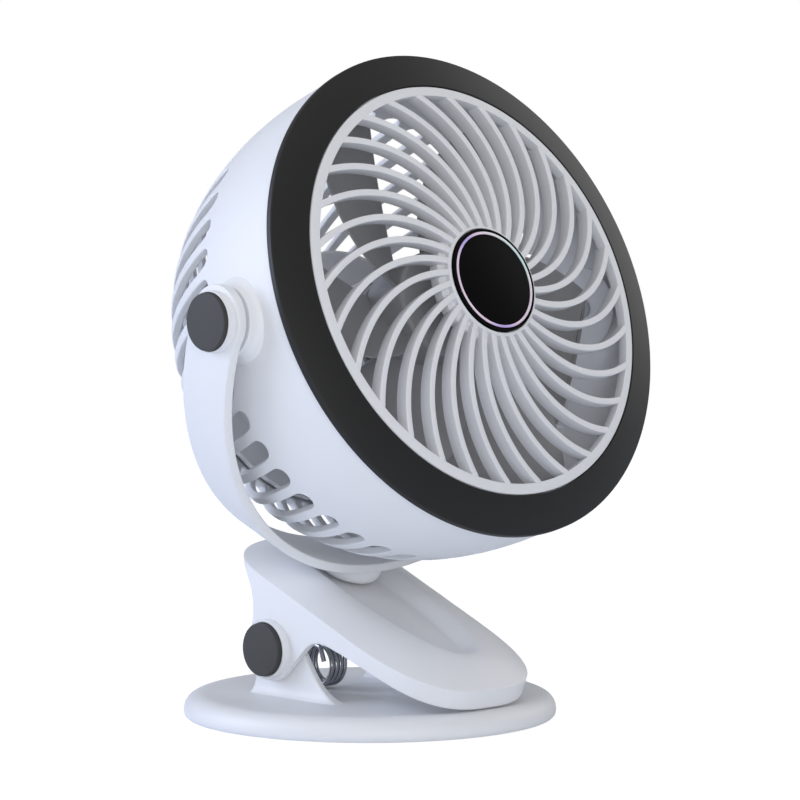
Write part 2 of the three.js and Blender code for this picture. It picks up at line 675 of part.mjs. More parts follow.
// Rows of the shell, front to rear. Slots are open from slotStart to slotEnd.
function shellRows() {
  const opening = 4;
  const step = (SLOT_LAST - SLOT_FIRST) / opening;
  const slots = Array.from({ length: opening + 1 }, (_, i) => SLOT_FIRST + step * i);
  return { angles: [0, ...slots, CAP_EDGE], slotStart: 2, slotEnd: 2 + opening };
}

// The rear shell: a bowl with curved slots all round, left open for the rear cap.
function rearShell() {
  const { angles, slotStart, slotEnd } = shellRows();
  const front = RING_REAR - GAP;
  const pitch = 360 / SLOTS;
  const columns = SLOTS * 3;
  const rows = angles.length; // one less than the rows of points, which start at the front edge
  const half = SLOT_ANGLE / 2;
  const positions = [];
  const place = (row, column, inset) => {
    const part = column % 3;
    let angle = row === 0 ? 0 : angles[row - 1];
    const rounding = 1.4;
    if (row === slotStart && part !== 1) angle += rounding;
    if (row === slotEnd && part !== 1) angle -= rounding;
    const swirl = Math.max(0, angle - SLOT_FIRST) / (SLOT_LAST - SLOT_FIRST) * SLOT_SWIRL;
    const turn = SLOT_PHASE + pitch * Math.floor(column / 3) + (part - 1) * half - swirl;
    const point = meridian(angle, inset);
    if (row === 0) point.y = front;
    positions.push(point.x * Math.sin(radians(turn)), point.x * Math.cos(radians(turn)), point.y);
  };
  for (const inset of [0, SHELL_WALL]) {
    for (let row = 0; row <= rows; row++) {
      for (let column = 0; column < columns; column++) place(row, column, inset);
    }
  }

  const layer = (rows + 1) * columns;
  const solid = (row, column) => row >= 0 && row < rows
    && (row < slotStart || row >= slotEnd || column % 3 === 2);
  const index = [];
  const quad = (a, b, c, d) => index.push(a, b, c, a, c, d);
  for (let row = 0; row < rows; row++) {
    for (let column = 0; column < columns; column++) {
      if (!solid(row, column)) continue;
      const next = (column + 1) % columns;
      const before = (column + columns - 1) % columns;
      const [a, b] = [row * columns + column, row * columns + next];
      const [c, d] = [b + columns, a + columns];
      quad(a, b, c, d);
      quad(a + layer, d + layer, c + layer, b + layer);
      const walls = [
        [a, b, row - 1, column],
        [b, c, row, next],
        [c, d, row + 1, column],
        [d, a, row, before],
      ];
      for (const [p, q, besideRow, besideColumn] of walls) {
        if (!solid(besideRow, besideColumn)) quad(q, p, p + layer, q + layer);
      }
    }
  }
  const bowl = new THREE.BufferGeometry();
  bowl.setAttribute('position', new THREE.Float32BufferAttribute(positions, 3));
  bowl.setIndex(index);

  const bossFace = Math.sqrt(YOKE_INSIDE ** 2 - SHELL_BOSS_RADIUS ** 2) - 2 * RUN;
  const reach = [SHELL_RADIUS - SHELL_WALL - 4, bossFace];
  const bosses = [-1, 1].map((side) => turned(cylinder(SHELL_BOSS_RADIUS, ...reach), side, 0, 0));
  const bore = alongX(cylinder(PIN_RADIUS + RUN, -YOKE_INSIDE, YOKE_INSIDE, FINE));
  return cut(joined(bowl, ...bosses), bore);
}

function trimRing() {
  const spigot = SHELL_RADIUS - SHELL_WALL - GAP;
  return revolved([
    [RING_RADIUS, RING_REAR],
    [RING_RADIUS, RING_EDGE],
    [RING_BORE, RING_FRONT],
    [RING_BORE, RING_FRONT - RING_WALL],
    [spigot - 2, RING_REAR - RING_SPIGOT],
    [spigot, RING_REAR - RING_SPIGOT],
    [spigot, RING_REAR],
  ], LARGE);
}

const grilleFace = (radius) => GRILLE_EDGE + GRILLE_RISE * (1 - (radius / GRILLE_RADIUS) ** 2);
const HUB_RADIUS = BADGE_RADIUS + GAP + HUB_WALL;

// One grille fin: its middle line curls back as it runs outward, and its section is a slim bar.
function grilleFin(phase) {
  const inside = BADGE_RADIUS + GAP;
  const outside = GRILLE_RADIUS - GRILLE_RIM / 2;
  const at = (radius) => {
    const out = radius - HUB_RADIUS;
    const turn = radians(phase - FIN_CURL * out - FIN_CURL_GROWTH * out * out);
    return new THREE.Vector3(radius * Math.sin(turn), radius * Math.cos(turn), 0);
  };
  const stations = 5;
  const rings = Array.from({ length: stations + 1 }, (_, i) => {
    const radius = inside + 0.5 + (outside - inside - 0.5) * i / stations;
    const along = at(radius + 0.01).sub(at(radius - 0.01)).normalize();
    const across = new THREE.Vector3(along.y, -along.x, 0);
    const face = grilleFace(radius);
    const corner = (side, height) => {
      const point = at(radius).addScaledVector(across, side * FIN_WIDTH / 2);
      return point.setZ(height);
    };
    return [corner(-1, face - FIN_DEPTH), corner(1, face - FIN_DEPTH), corner(1, face), corner(-1, face)];
  });
  return lofted(rings);
}

function frontGrille() {
  const bore = GRILLE_RADIUS - GRILLE_RIM;
  const rimBack = GRILLE_EDGE - GRILLE_RIM_DEPTH;
  const rim = revolved([
    [GRILLE_RADIUS, rimBack],
    [GRILLE_RADIUS, GRILLE_EDGE],
    [bore, grilleFace(bore)],
    [bore, rimBack],
  ], LARGE);
  const seat = BADGE_FACE - BADGE_THICKNESS - GAP;
  const hub = revolved([
    [0, seat - HUB_DEPTH],
    [HUB_RADIUS + HUB_STEP, seat - HUB_DEPTH],
    [HUB_RADIUS + HUB_STEP, seat - 1.5],
    [HUB_RADIUS, seat - 0.8],
    [HUB_RADIUS, grilleFace(HUB_RADIUS)],
    [HUB_RADIUS - HUB_WALL, grilleFace(HUB_RADIUS) + 0.3],
    [HUB_RADIUS - HUB_WALL, seat],
    [0, seat],
  ], MIDDLE);
  const fins = Array.from({ length: FINS }, (_, k) => grilleFin(FIN_PHASE + k * 360 / FINS));
  return joined(rim, hub, ...fins);
}

const BADGE_RING = [BADGE_RADIUS - BADGE_MARGIN - BADGE_LINE, BADGE_RADIUS - BADGE_MARGIN];

function badgeDisc() {
  const [inner, outer] = BADGE_RING;
  return revolved([
    [0, BADGE_FACE - BADGE_THICKNESS],
    [BADGE_RADIUS, BADGE_FACE - BADGE_THICKNESS],
    [BADGE_RADIUS, BADGE_FACE],
    [outer + GAP, BADGE_FACE],
    [outer + GAP, BADGE_FACE - BADGE_GROOVE],
    [inner - GAP, BADGE_FACE - BADGE_GROOVE],
    [inner - GAP, BADGE_FACE],
    [0, BADGE_FACE],
  ], MIDDLE);
}

function badgeRing() {
  const [inner, outer] = BADGE_RING;
  const from = BADGE_FACE - BADGE_GROOVE + GAP;
  const to = BADGE_FACE + 0.15;
  return revolved([[inner, from], [outer, from], [outer, to], [inner, to]], MIDDLE);
}

// One fan blade: a thin twisted sheet between a trailing edge in front and a leading edge behind.
function blade(phase) {
  const stations = 4;
  const across = 3;
  const rings = Array.from({ length: stations + 1 }, (_, i) => {
    const radius = ROTOR_HUB_RADIUS - 1 + (BLADE_TIP - ROTOR_HUB_RADIUS + 1) * i / stations;
    const trailing = -41 + 0.87 * (radius - BLADE_MIDDLE);
    const leading = 3 + 0.1 * (radius - BLADE_MIDDLE);
    const sheet = (share, side) => {
      const turn = radians(phase + trailing + (leading - trailing) * share);
      const bulge = Math.sin(share * Math.PI) * 2;
      const depth = BLADE_FRONT + (BLADE_REAR - BLADE_FRONT) * share - bulge;
      const height = depth + side * BLADE_THICKNESS / 2;
      return new THREE.Vector3(radius * Math.sin(turn), radius * Math.cos(turn), height);
    };
    const shares = Array.from({ length: across + 1 }, (_, k) => k / across);
    const front = shares.map((share) => sheet(share, 1));
    return [...front, ...shares.reverse().map((share) => sheet(share, -1))];
  });
  return lofted(rings);
}

function fanRotor() {
  const hub = revolved([
    [0, BLADE_REAR],
    [ROTOR_HUB_RADIUS, BLADE_REAR],
    [ROTOR_HUB_RADIUS, BLADE_FRONT],
    [ROTOR_HUB_RADIUS - 2, BLADE_FRONT + 1.5],
    [0, BLADE_FRONT + 2],
  ]);
  const blades = Array.from({ length: BLADES }, (_, k) => blade(k * 360 / BLADES));
  const bore = cylinder(SHAFT_RADIUS + GAP, BLADE_REAR - 2, BLADE_FRONT - 2, FINE);
  return cut(joined(hub, ...blades), bore);
}

function motor() {
  const rear = MOTOR_FRONT - MOTOR_LENGTH;
  const body = revolved([
    [0, rear],
    [MOTOR_RADIUS - 1, rear],
    [MOTOR_RADIUS, rear + 1],
    [MOTOR_RADIUS, MOTOR_FRONT - 1],
    [MOTOR_RADIUS - 1, MOTOR_FRONT],
    [4, MOTOR_FRONT],
    [4, MOTOR_FRONT + 1.5],
    [0, MOTOR_FRONT + 1.5],
  ]);
  return cut(body, cylinder(SHAFT_RADIUS + RUN, MOTOR_FRONT - SHAFT_SEAT, MOTOR_FRONT + 5, FINE));
}

function motorShaft() {
  return cylinder(SHAFT_RADIUS, MOTOR_FRONT - SHAFT_SEAT + GAP, BLADE_FRONT - 2 - GAP, FINE);
}

const FLANGE_SEAT = meridian(SLOT_LAST, SHELL_WALL);
const FLANGE_REAR = FLANGE_SEAT.y + GAP;
const FLANGE_RADIUS = FLANGE_SEAT.x - GAP;

// The housing behind the motor: a cup for the battery, a sleeve for the motor, and a rear flange.
function motorHousing() {
  const sleeve = MOTOR_RADIUS + GAP;
  const bore = HOUSING_RADIUS - HOUSING_WALL;
  return revolved([
    [FLANGE_RADIUS, FLANGE_REAR],
    [FLANGE_RADIUS, FLANGE_REAR + HOUSING_WALL],
    [HOUSING_RADIUS, FLANGE_REAR + HOUSING_WALL],
    [HOUSING_RADIUS, HOUSING_FRONT - 2],
    [HOUSING_RADIUS - 2, HOUSING_FRONT],
    [sleeve + HOUSING_WALL, HOUSING_FRONT],
    [sleeve + HOUSING_WALL, HOUSING_FRONT + SLEEVE_LENGTH],
    [sleeve, HOUSING_FRONT + SLEEVE_LENGTH],
    [sleeve, HOUSING_FRONT - HOUSING_WALL],
    [bore, HOUSING_FRONT - HOUSING_WALL],
    [bore, FLANGE_REAR],
  ], MIDDLE);
}

const BOARD_FRONT = FLANGE_REAR + 1;

function batteryPack() {
  const pack = roundedBox(BATTERY_WIDTH, BATTERY_HEIGHT, BATTERY_LENGTH, BATTERY_CORNER);
  return pack.translate(0, 0, BOARD_FRONT + GAP);
}

function circuitBoard() {
  const radius = HOUSING_RADIUS - HOUSING_WALL - GAP;
  return cylinder(radius, BOARD_FRONT - BOARD_THICKNESS, BOARD_FRONT, MIDDLE);
}

const CAP_SEAT = meridian(CAP_EDGE).y;

// The rear cap carries on the shell's dome, with a bore for the button and one for the inlet.
function rearCap() {
  const steps = 3;
  const dome = Array.from({ length: steps + 1 }, (_, i) => {
    const point = meridian(CAP_EDGE + (90 - CAP_EDGE) * i / steps);
    return [i === 0 ? point.x - GAP : point.x, point.y];
  });
  dome[steps][0] = 0;
  const spigot = HOUSING_RADIUS - HOUSING_WALL - GAP;
  const pole = dome[steps][1];
  const body = revolved([
    ...dome,
    [0, pole + 2.2],
    [spigot - 8, pole + 3],
    [spigot - 2, CAP_SEAT],
    [spigot - 2, BOARD_FRONT - BOARD_THICKNESS - GAP],
    [spigot, BOARD_FRONT - BOARD_THICKNESS - GAP],
    [spigot, CAP_SEAT + 1.4],
    [dome[0][0] - 1, CAP_SEAT + 1.4],
    [dome[0][0], CAP_SEAT + 0.4],
  ], MIDDLE);
  const buttonBore = cylinder(BUTTON_RADIUS + GAP, pole - 5, CAP_SEAT + 5).translate(0, BUTTON_HEIGHT, 0);
  const inlet = roundedBox(SOCKET_WIDTH + 2 * GAP, SOCKET_HEIGHT + 2 * GAP, 20, 1.6);
  return cut(body, buttonBore, inlet.translate(0, -SOCKET_DROP, pole - 5));
}

const BUTTON_FACE = meridian(80).y - 1.2;

function powerButton() {
  const flange = CAP_SEAT + 0.6;
  return revolved([
    [0, BUTTON_FACE + 0.4],
    [BUTTON_RADIUS - 2, BUTTON_FACE],
    [BUTTON_RADIUS - 0.6, BUTTON_FACE],
    [BUTTON_RADIUS, BUTTON_FACE + 0.6],
    [BUTTON_RADIUS, flange],
    [0, flange],
  ]).translate(0, BUTTON_HEIGHT, 0);
}

function chargeSocket() {
  const from = meridian(78).y + 0.6;
  const to = BOARD_FRONT - BOARD_THICKNESS - GAP;
  const can = roundedBox(SOCKET_WIDTH, SOCKET_HEIGHT, to - from, 1.4);
  const hollow = roundedBox(SOCKET_WIDTH - 0.8, SOCKET_HEIGHT - 0.8, to - from, 1.1).translate(0, 0, -1);
  const tongue = roundedBox(SOCKET_WIDTH - 3, 0.7, to - from - 1, 0.3).translate(0, 0, 1);
  return joined(cut(can, hollow), tongue).translate(0, -SOCKET_DROP, from);
}

// ---- Assembly ----

const head = new THREE.Group();
head.rotation.x = radians(HEAD_TILT);
head.add(piece('rear_shell', rearShell(), white));
head.add(piece('trim_ring', trimRing(), black));
head.add(piece('front_grille', frontGrille(), white));
head.add(piece('badge_disc', badgeDisc(), black));
head.add(piece('badge_ring', badgeRing(), { color: 0xdcd0ec, roughness: 0.2, metalness: 0.6 }));
head.add(piece('fan_rotor', fanRotor(), grey));
head.add(piece('motor', motor(), steel));
head.add(piece('motor_shaft', motorShaft(), steel));
head.add(piece('motor_housing', motorHousing(), white));
head.add(piece('battery_pack', batteryPack(), { color: 0x3f6f9f, roughness: 0.6, metalness: 0 }));
head.add(piece('circuit_board', circuitBoard(), { color: 0x1f5a3a, roughness: 0.6, metalness: 0 }));
head.add(piece('rear_cap', rearCap(), white));
head.add(piece('power_button', powerButton(), grey));
head.add(piece('charge_socket', chargeSocket(), steel));

const yokeGroup = new THREE.Group();
yokeGroup.position.z = YOKE_HEIGHT;
yokeGroup.add(piece('yoke', yoke(), white));
yokeGroup.add(piece('swivel_screw', swivelScrew(), steel));
yokeGroup.add(piece('swivel_washer', swivelWasher(), steel));
yokeGroup.add(head);

const jaw = new THREE.Group();
jaw.position.set(0, JAW_Y, JAW_Z);
jaw.rotation.x = radians(JAW_SLOPE);
jaw.add(piece('clip_lever', clipLever(), white));
jaw.add(piece('jaw_pad', jawPad(), rubber));
jaw.add(yokeGroup);

for (const [name, side] of [['left', -1], ['right', 1]]) {
  const { x: y, y: z } = HINGE_IN_JAW;
  const hingePin = turned(headedPin(EAR_INSIDE - PIN_INSIDE, BOSS_SEAT), side, y, z);
  const hingeCap = turned(pinCap(BOSS_SEAT + GAP, HINGE_BOSS_FACE + CAP_STAND), side, y, z);
  const tiltFace = YOKE_INSIDE + YOKE_THICKNESS + COLLAR_STAND + TILT_CAP_STAND;
  const tiltPin = turned(headedPin(SHELL_RADIUS - 5, TILT_SEAT), side, 0, 0);
  const tiltCap = turned(pinCap(TILT_SEAT + GAP, tiltFace), side, 0, 0);
  jaw.add(piece(`hinge_pin_${name}`, hingePin, steel));
  jaw.add(piece(`hinge_cap_${name}`, hingeCap, black));
  yokeGroup.add(piece(`tilt_pin_${name}`, tiltPin, steel));
  yokeGroup.add(piece(`tilt_cap_${name}`, tiltCap, black));
}

const fan = new THREE.Group();
fan.add(piece('base_shell', baseShell(), white));
fan.add(piece('base_plate', basePlate(), grey));
fan.add(piece('foot_pad', footPad(), rubber));
fan.add(piece('torsion_spring', torsionSpring(), steel));
fan.add(jaw);

export default fan;
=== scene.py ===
import math

import bpy
import numpy as np
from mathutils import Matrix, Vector


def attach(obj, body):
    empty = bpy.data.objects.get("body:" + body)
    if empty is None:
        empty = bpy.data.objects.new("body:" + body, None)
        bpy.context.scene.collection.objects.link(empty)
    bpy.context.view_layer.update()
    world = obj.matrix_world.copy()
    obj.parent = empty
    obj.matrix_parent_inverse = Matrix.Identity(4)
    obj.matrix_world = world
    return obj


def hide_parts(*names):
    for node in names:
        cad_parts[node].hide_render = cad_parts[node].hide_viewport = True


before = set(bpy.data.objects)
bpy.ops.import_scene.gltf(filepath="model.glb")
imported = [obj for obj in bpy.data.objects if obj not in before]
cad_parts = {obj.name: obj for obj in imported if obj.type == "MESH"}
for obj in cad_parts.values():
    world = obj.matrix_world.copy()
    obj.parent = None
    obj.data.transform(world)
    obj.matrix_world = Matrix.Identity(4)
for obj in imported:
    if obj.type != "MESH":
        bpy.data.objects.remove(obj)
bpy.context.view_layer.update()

# ---- Camera ----
# The photograph was taken from the front left, just above the head's middle, with a long lens.
# Its place was solved from the ellipses of the ring, the badge, the caps and the base.
camera = bpy.data.objects.new("camera", bpy.data.cameras.new("camera"))
camera.data.lens = 152.8
camera.data.sensor_width = 36.0
camera.location = (-0.70924, -0.75579, 0.16197)
camera_azimuth = math.radians(-43.69)
camera_elevation = math.radians(3.6)
view_direction = Vector((
    -math.sin(camera_azimuth) * math.cos(camera_elevation),
    math.cos(camera_azimuth) * math.cos(camera_elevation),
    -math.sin(camera_elevation),
))
camera.rotation_euler = view_direction.to_track_quat("-Z", "Y").to_euler()
bpy.context.scene.collection.objects.link(camera)
bpy.context.scene.camera = camera
bpy.context.scene.view_settings.view_transform = "Standard"

# ---- Lamps and world ----
# Soft studio light: a broad lamp overhead, a low one at the front left, a cool one at the left rear
# and one at the right that the black ring mirrors. The world is a weak grey fill, and plain white
# where the camera sees it.


def softbox(name, place, aim, size, power, colour):
    """A square area lamp at a place, turned towards the point that it lights."""
    lamp = bpy.data.objects.new(name, bpy.data.lights.new(name, "AREA"))
    lamp.data.size = size
    lamp.data.energy = power
    lamp.data.color = colour
    lamp.location = place
    lamp.rotation_euler = (Vector(aim) - Vector(place)).to_track_quat("-Z", "Y").to_euler()
    bpy.context.scene.collection.objects.link(lamp)


head_middle = (0.0, -0.02, 0.12)
softbox("overhead_lamp", (-0.2, -0.1, 1.1), head_middle, 0.9, 2.4, (1.0, 1.0, 1.0))
softbox("front_lamp", (-0.75, -1.2, 0.3), head_middle, 0.8, 8.5, (1.0, 1.0, 0.99))
softbox("rear_lamp", (-0.85, 0.8, 0.5), head_middle, 0.8, 9.5, (0.72, 0.80, 1.0))
softbox("right_lamp", (1.15, -0.1, 0.6), head_middle, 0.8, 2.4, (1.0, 1.0, 0.98))

world = bpy.data.worlds.new("studio")
bpy.context.scene.world = world
world.use_nodes = True
tree = world.node_tree
tree.nodes.clear()
rays = tree.nodes.new("ShaderNodeLightPath")
seen = tree.nodes.new("ShaderNodeMath")
seen.operation = "MAXIMUM"
tree.links.new(rays.outputs["Is Camera Ray"], seen.inputs[0])
tree.links.new(rays.outputs["Is Transmission Ray"], seen.inputs[1])
fill = tree.nodes.new("ShaderNodeBackground")
fill.inputs["Color"].default_value = (0.88, 0.88, 0.91, 1.0)
fill.inputs["Strength"].default_value = 0.38
backdrop = tree.nodes.new("ShaderNodeBackground")
backdrop.inputs["Color"].default_value = (1.0, 1.0, 1.0, 1.0)
choice = tree.nodes.new("ShaderNodeMixShader")
world_output = tree.nodes.new("ShaderNodeOutputWorld")
tree.links.new(seen.outputs[0], choice.inputs[0])
tree.links.new(fill.outputs[0], choice.inputs[1])
tree.links.new(backdrop.outputs[0], choice.inputs[2])
tree.links.new(choice.outputs[0], world_output.inputs["Surface"])

# ---- Floor ----
# A white table top that takes the fan's shadow. Where the camera sees it, a dull paint plus a glow
# bring it to the white of the backdrop, and every other ray meets a plain pale surface.
floor_reach = 4.0
floor_mesh = bpy.data.meshes.new("floor")
floor_mesh.from_pydata(
    [(-floor_reach, -floor_reach, 0), (floor_reach, -floor_reach, 0),
     (floor_reach, floor_reach, 0), (-floor_reach, floor_reach, 0)],
    [], [(0, 1, 2, 3)])
floor = bpy.data.objects.new("floor", floor_mesh)
bpy.context.scene.collection.objects.link(floor)
table_top = bpy.data.materials.new("table_top")
table_top.use_nodes = True
tree = table_top.node_tree
tree.nodes.clear()
paint = tree.nodes.new("ShaderNodeBsdfDiffuse")
paint.inputs["Color"].default_value = (0.20, 0.20, 0.21, 1.0)
lift = tree.nodes.new("ShaderNodeEmission")
lift.inputs["Strength"].default_value = 0.93
both = tree.nodes.new("ShaderNodeAddShader")
plain = tree.nodes.new("ShaderNodeBsdfDiffuse")
plain.inputs["Color"].default_value = (0.88, 0.92, 1.0, 1.0)
rays = tree.nodes.new("ShaderNodeLightPath")
choice = tree.nodes.new("ShaderNodeMixShader")
table_output = tree.nodes.new("ShaderNodeOutputMaterial")
tree.links.new(paint.outputs[0], both.inputs[0])
tree.links.new(lift.outputs[0], both.inputs[1])
tree.links.new(rays.outputs["Is Camera Ray"], choice.inputs[0])
tree.links.new(plain.outputs[0], choice.inputs[1])
tree.links.new(both.outputs[0], choice.inputs[2])
tree.links.new(choice.outputs[0], table_output.inputs["Surface"])
floor.data.materials.append(table_top)

# ---- Base shell ----
# The round foot of the fan, moulded in satin white plastic: a shallow disc with a soft rim,
# and two thin ears with swept front edges that rise from it to carry the clip's hinge.
mm = 0.001


def corner_softened(points, cutback, steps=4):
    """Replaces each inner corner of a polyline by a quadratic curve. It starts a cutback before the
    corner and ends a cutback behind it, but never uses more than 45% of either side."""
    points = np.asarray(points, float)
    cutbacks = np.broadcast_to(cutback, len(points))
    out = [points[:1]]
    for before, corner, after, reach in zip(points[:-2], points[1:-1], points[2:], cutbacks[1:-1]):
        to_before, to_after = before - corner, after - corner
        start = corner + to_before * min(0.45, reach / max(np.linalg.norm(to_before), 1e-9))
        end = corner + to_after * min(0.45, reach / max(np.linalg.norm(to_after), 1e-9))
        t = np.linspace(0, 1, steps + 1)[:, None]
        out.append((1 - t) ** 2 * start + 2 * t * (1 - t) * corner + t ** 2 * end)
    out.append(points[-1:])
    return np.vstack(out)


def turned_outward(vertices, quads, triangles):
    """The same faces, turned round if the volume that they enclose is negative. The volume is the sum
    over all triangles of the first corner's dot product with the cross product of the other two."""
    a, b, c, d = (vertices[quads[:, k]] for k in range(4))
    volume = np.einsum("ij,ij->", a, np.cross(b, c) + np.cross(c, d))
    if len(triangles):
        a, b, c = (vertices[triangles[:, k]] for k in range(3))
        volume += np.einsum("ij,ij->", a, np.cross(b, c))
    if volume < 0:
        return vertices, quads[:, ::-1], triangles[:, ::-1]
    return vertices, quads, triangles


def skin(grid, loops=False, poles=None):
    """Quads over points (rows, columns, 3) whose columns close round. The rows close too if they loop,
    and otherwise each end closes by a fan to its pole, or to the end row's own middle."""
    rows, columns, _ = grid.shape
    vertices = grid.reshape(-1, 3)
    number = np.arange(rows * columns).reshape(rows, columns)
    lower = number if loops else number[:-1]
    upper = np.roll(number, -1, 0) if loops else number[1:]
    quads = np.stack([lower, np.roll(lower, -1, 1), np.roll(upper, -1, 1), upper], -1).reshape(-1, 4)
    if loops:
        return turned_outward(vertices, quads, np.empty((0, 3), int))
    first, last = (grid[0].mean(0), grid[-1].mean(0)) if poles is None else poles
    count = len(vertices)
    near, far = number[0], number[-1]
    start_fan = np.stack([np.roll(near, -1), near, np.full(columns, count)], -1)
    end_fan = np.stack([far, np.roll(far, -1), np.full(columns, count + 1)], -1)
    return turned_outward(np.vstack([vertices, first, last]), quads, np.vstack([start_fan, end_fan]))


def turned(profile, columns=128):
    """Revolves a profile of (radius, height) points round Z. A profile that starts and ends on the axis
    closes at two poles, and one off the axis ends with its first point again and closes to a ring."""
    profile = np.asarray(profile, float)
    on_axis = profile[0, 0] == 0 and profile[-1, 0] == 0
    body = profile[1:-1] if on_axis else profile[:-1]
    angle = np.linspace(0, 2 * np.pi, columns, endpoint=False)
    radius, height = body[:, :1], body[:, 1:]
    grid = np.stack([radius * np.cos(angle), radius * np.sin(angle),
                     np.broadcast_to(height, (len(body), columns))], -1)
    if on_axis:
        return skin(grid, poles=((0, 0, profile[0, 1]), (0, 0, profile[-1, 1])))
    return skin(grid, loops=True)


def moved(parts, place):
    """The same skin with its vertices put in another place by a function of points."""
    vertices, quads, triangles = parts
    return place(vertices), quads, triangles


crease_angle = math.radians(35)


def solid(name, skins, body, material, replaced):
    """One object from closed skins in millimetres: smooth faces with sharp edges over the crease angle."""
    offset, vertices, quads, triangles = 0, [], [], []
    for points, squares, thirds in skins:
        vertices.append(points)
        quads.append(squares + offset)
        triangles.append(thirds + offset)
        offset += len(points)
    vertices, quads, triangles = np.vstack(vertices) * mm, np.vstack(quads), np.vstack(triangles)
    corners = np.concatenate([quads.ravel(), triangles.ravel()])
    totals = np.concatenate([np.full(len(quads), 4), np.full(len(triangles), 3)])
    mesh = bpy.data.meshes.new(name)
    mesh.vertices.add(len(vertices))
    mesh.vertices.foreach_set("co", vertices.astype(np.float32).ravel())
    mesh.loops.add(len(corners))
    mesh.loops.foreach_set("vertex_index", corners.astype(np.int32))
    mesh.polygons.add(len(totals))
    mesh.polygons.foreach_set("loop_start", (np.cumsum(totals) - totals).astype(np.int32))
    mesh.update(calc_edges=True)
    mesh.validate()
    mesh.shade_smooth()
    mesh.set_sharp_from_angle(angle=crease_angle)
    mesh.materials.append(material)
    piece = bpy.data.objects.new(name, mesh)
    bpy.context.scene.collection.objects.link(piece)
    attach(piece, body)
    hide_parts(replaced)
    return piece


# The grain of moulded plastic: faint cloudy colour, and a fine even texture from the mould.
gloss_spread = 0.14
grain = bpy.data.node_groups.new("moulded_grain", "ShaderNodeTree")
for socket, way, kind in (
        ("Light Colour", "INPUT", "Color"), ("Dark Colour", "INPUT", "Color"),
        ("Cloud Scale", "INPUT", "Float"), ("Grain Scale", "INPUT", "Float"),
        ("Roughness", "INPUT", "Float"), ("Colour", "OUTPUT", "Color"),
        ("Gloss", "OUTPUT", "Float"), ("Height", "OUTPUT", "Float")):
    grain.interface.new_socket(socket, in_out=way, socket_type="NodeSocket" + kind)
given = grain.nodes.new("NodeGroupInput")
result = grain.nodes.new("NodeGroupOutput")
coordinate = grain.nodes.new("ShaderNodeTexCoord")
cloud = grain.nodes.new("ShaderNodeTexNoise")
cloud.inputs["Detail"].default_value = 3.0
fine = grain.nodes.new("ShaderNodeTexNoise")
fine.inputs["Detail"].default_value = 2.0
tint = grain.nodes.new("ShaderNodeMix")
tint.data_type = "RGBA"
spread = grain.nodes.new("ShaderNodeMath")
spread.operation = "MULTIPLY_ADD"
spread.inputs[1].default_value = gloss_spread
grain.links.new(coordinate.outputs["Object"], cloud.inputs["Vector"])
grain.links.new(coordinate.outputs["Object"], fine.inputs["Vector"])
grain.links.new(given.outputs["Cloud Scale"], cloud.inputs["Scale"])
grain.links.new(given.outputs["Grain Scale"], fine.inputs["Scale"])
grain.links.new(cloud.outputs["Fac"], tint.inputs["Factor"])
grain.links.new(given.outputs["Dark Colour"], tint.inputs["A"])
grain.links.new(given.outputs["Light Colour"], tint.inputs["B"])
grain.links.new(fine.outputs["Fac"], spread.inputs[0])
grain.links.new(given.outputs["Roughness"], spread.inputs[2])
grain.links.new(tint.outputs["Result"], result.inputs["Colour"])
grain.links.new(spread.outputs[0], result.inputs["Gloss"])
grain.links.new(fine.outputs["Fac"], result.inputs["Height"])


def grained(name, light, dark, roughness, depth, cloud_scale, grain_scale, strength):
    """A material whose colour, roughness and bump come from the grain group. The bump's depth is in
    metres, and the roughness given is the middle of its range."""
    material = bpy.data.materials.new(name)
    material.use_nodes = True
    nodes, links = material.node_tree.nodes, material.node_tree.links
    shader = nodes["Principled BSDF"]
    pattern = nodes.new("ShaderNodeGroup")
    pattern.node_tree = grain
    pattern.inputs["Light Colour"].default_value = (*light, 1.0)
    pattern.inputs["Dark Colour"].default_value = (*dark, 1.0)
    pattern.inputs["Cloud Scale"].default_value = cloud_scale
    pattern.inputs["Grain Scale"].default_value = grain_scale
    pattern.inputs["Roughness"].default_value = roughness - gloss_spread / 2
    bump = nodes.new("ShaderNodeBump")
    bump.inputs["Strength"].default_value = strength
    bump.inputs["Distance"].default_value = depth
    links.new(pattern.outputs["Colour"], shader.inputs["Base Color"])
    links.new(pattern.outputs["Gloss"], shader.inputs["Roughness"])
    links.new(pattern.outputs["Height"], bump.inputs["Height"])
    links.new(bump.outputs["Normal"], shader.inputs["Normal"])
    return material, shader


def plastic(name, light, dark, roughness, depth, cloud_scale=30.0, grain_scale=2600.0, specular=0.5):
    """Moulded plastic or rubber with an even grain of a given depth in metres."""
    material, shader = grained(name, light, dark, roughness, depth, cloud_scale, grain_scale, 0.35)
    shader.inputs["Specular IOR Level"].default_value = specular
    return material


white_plastic = plastic("white_plastic", (0.79, 0.80, 0.82), (0.76, 0.77, 0.79), 0.45, 0.0001)

base_radius = 57.1
base_top = 7.0
hinge_y, hinge_z = 14.8, 21.4
hinge_boss_radius = 9.4
ear_middle, ear_half_thickness = 23.8, 1.5

rim_turn = np.linspace(np.pi / 2, 0, 14)
dish_profile = np.vstack([
    [(0, base_top - 0.2), (base_radius - 20, base_top - 0.25), (base_radius - 15, base_top - 0.4),
     (base_radius - 11, base_top - 0.35), (base_radius - 8.5, base_top - 0.05)],
    np.column_stack([base_radius - 6.2 + 6.3 * np.cos(rim_turn) ** 0.86,
                     1.8 + (base_top - 1.6) * np.sin(rim_turn) ** 0.86]),
    [(base_radius - 0.1, 0.9), (base_radius - 0.7, 0.3), (base_radius - 2.4, 0.3),
     (base_radius - 2.4, 3.8), (0, 4.6)],
])


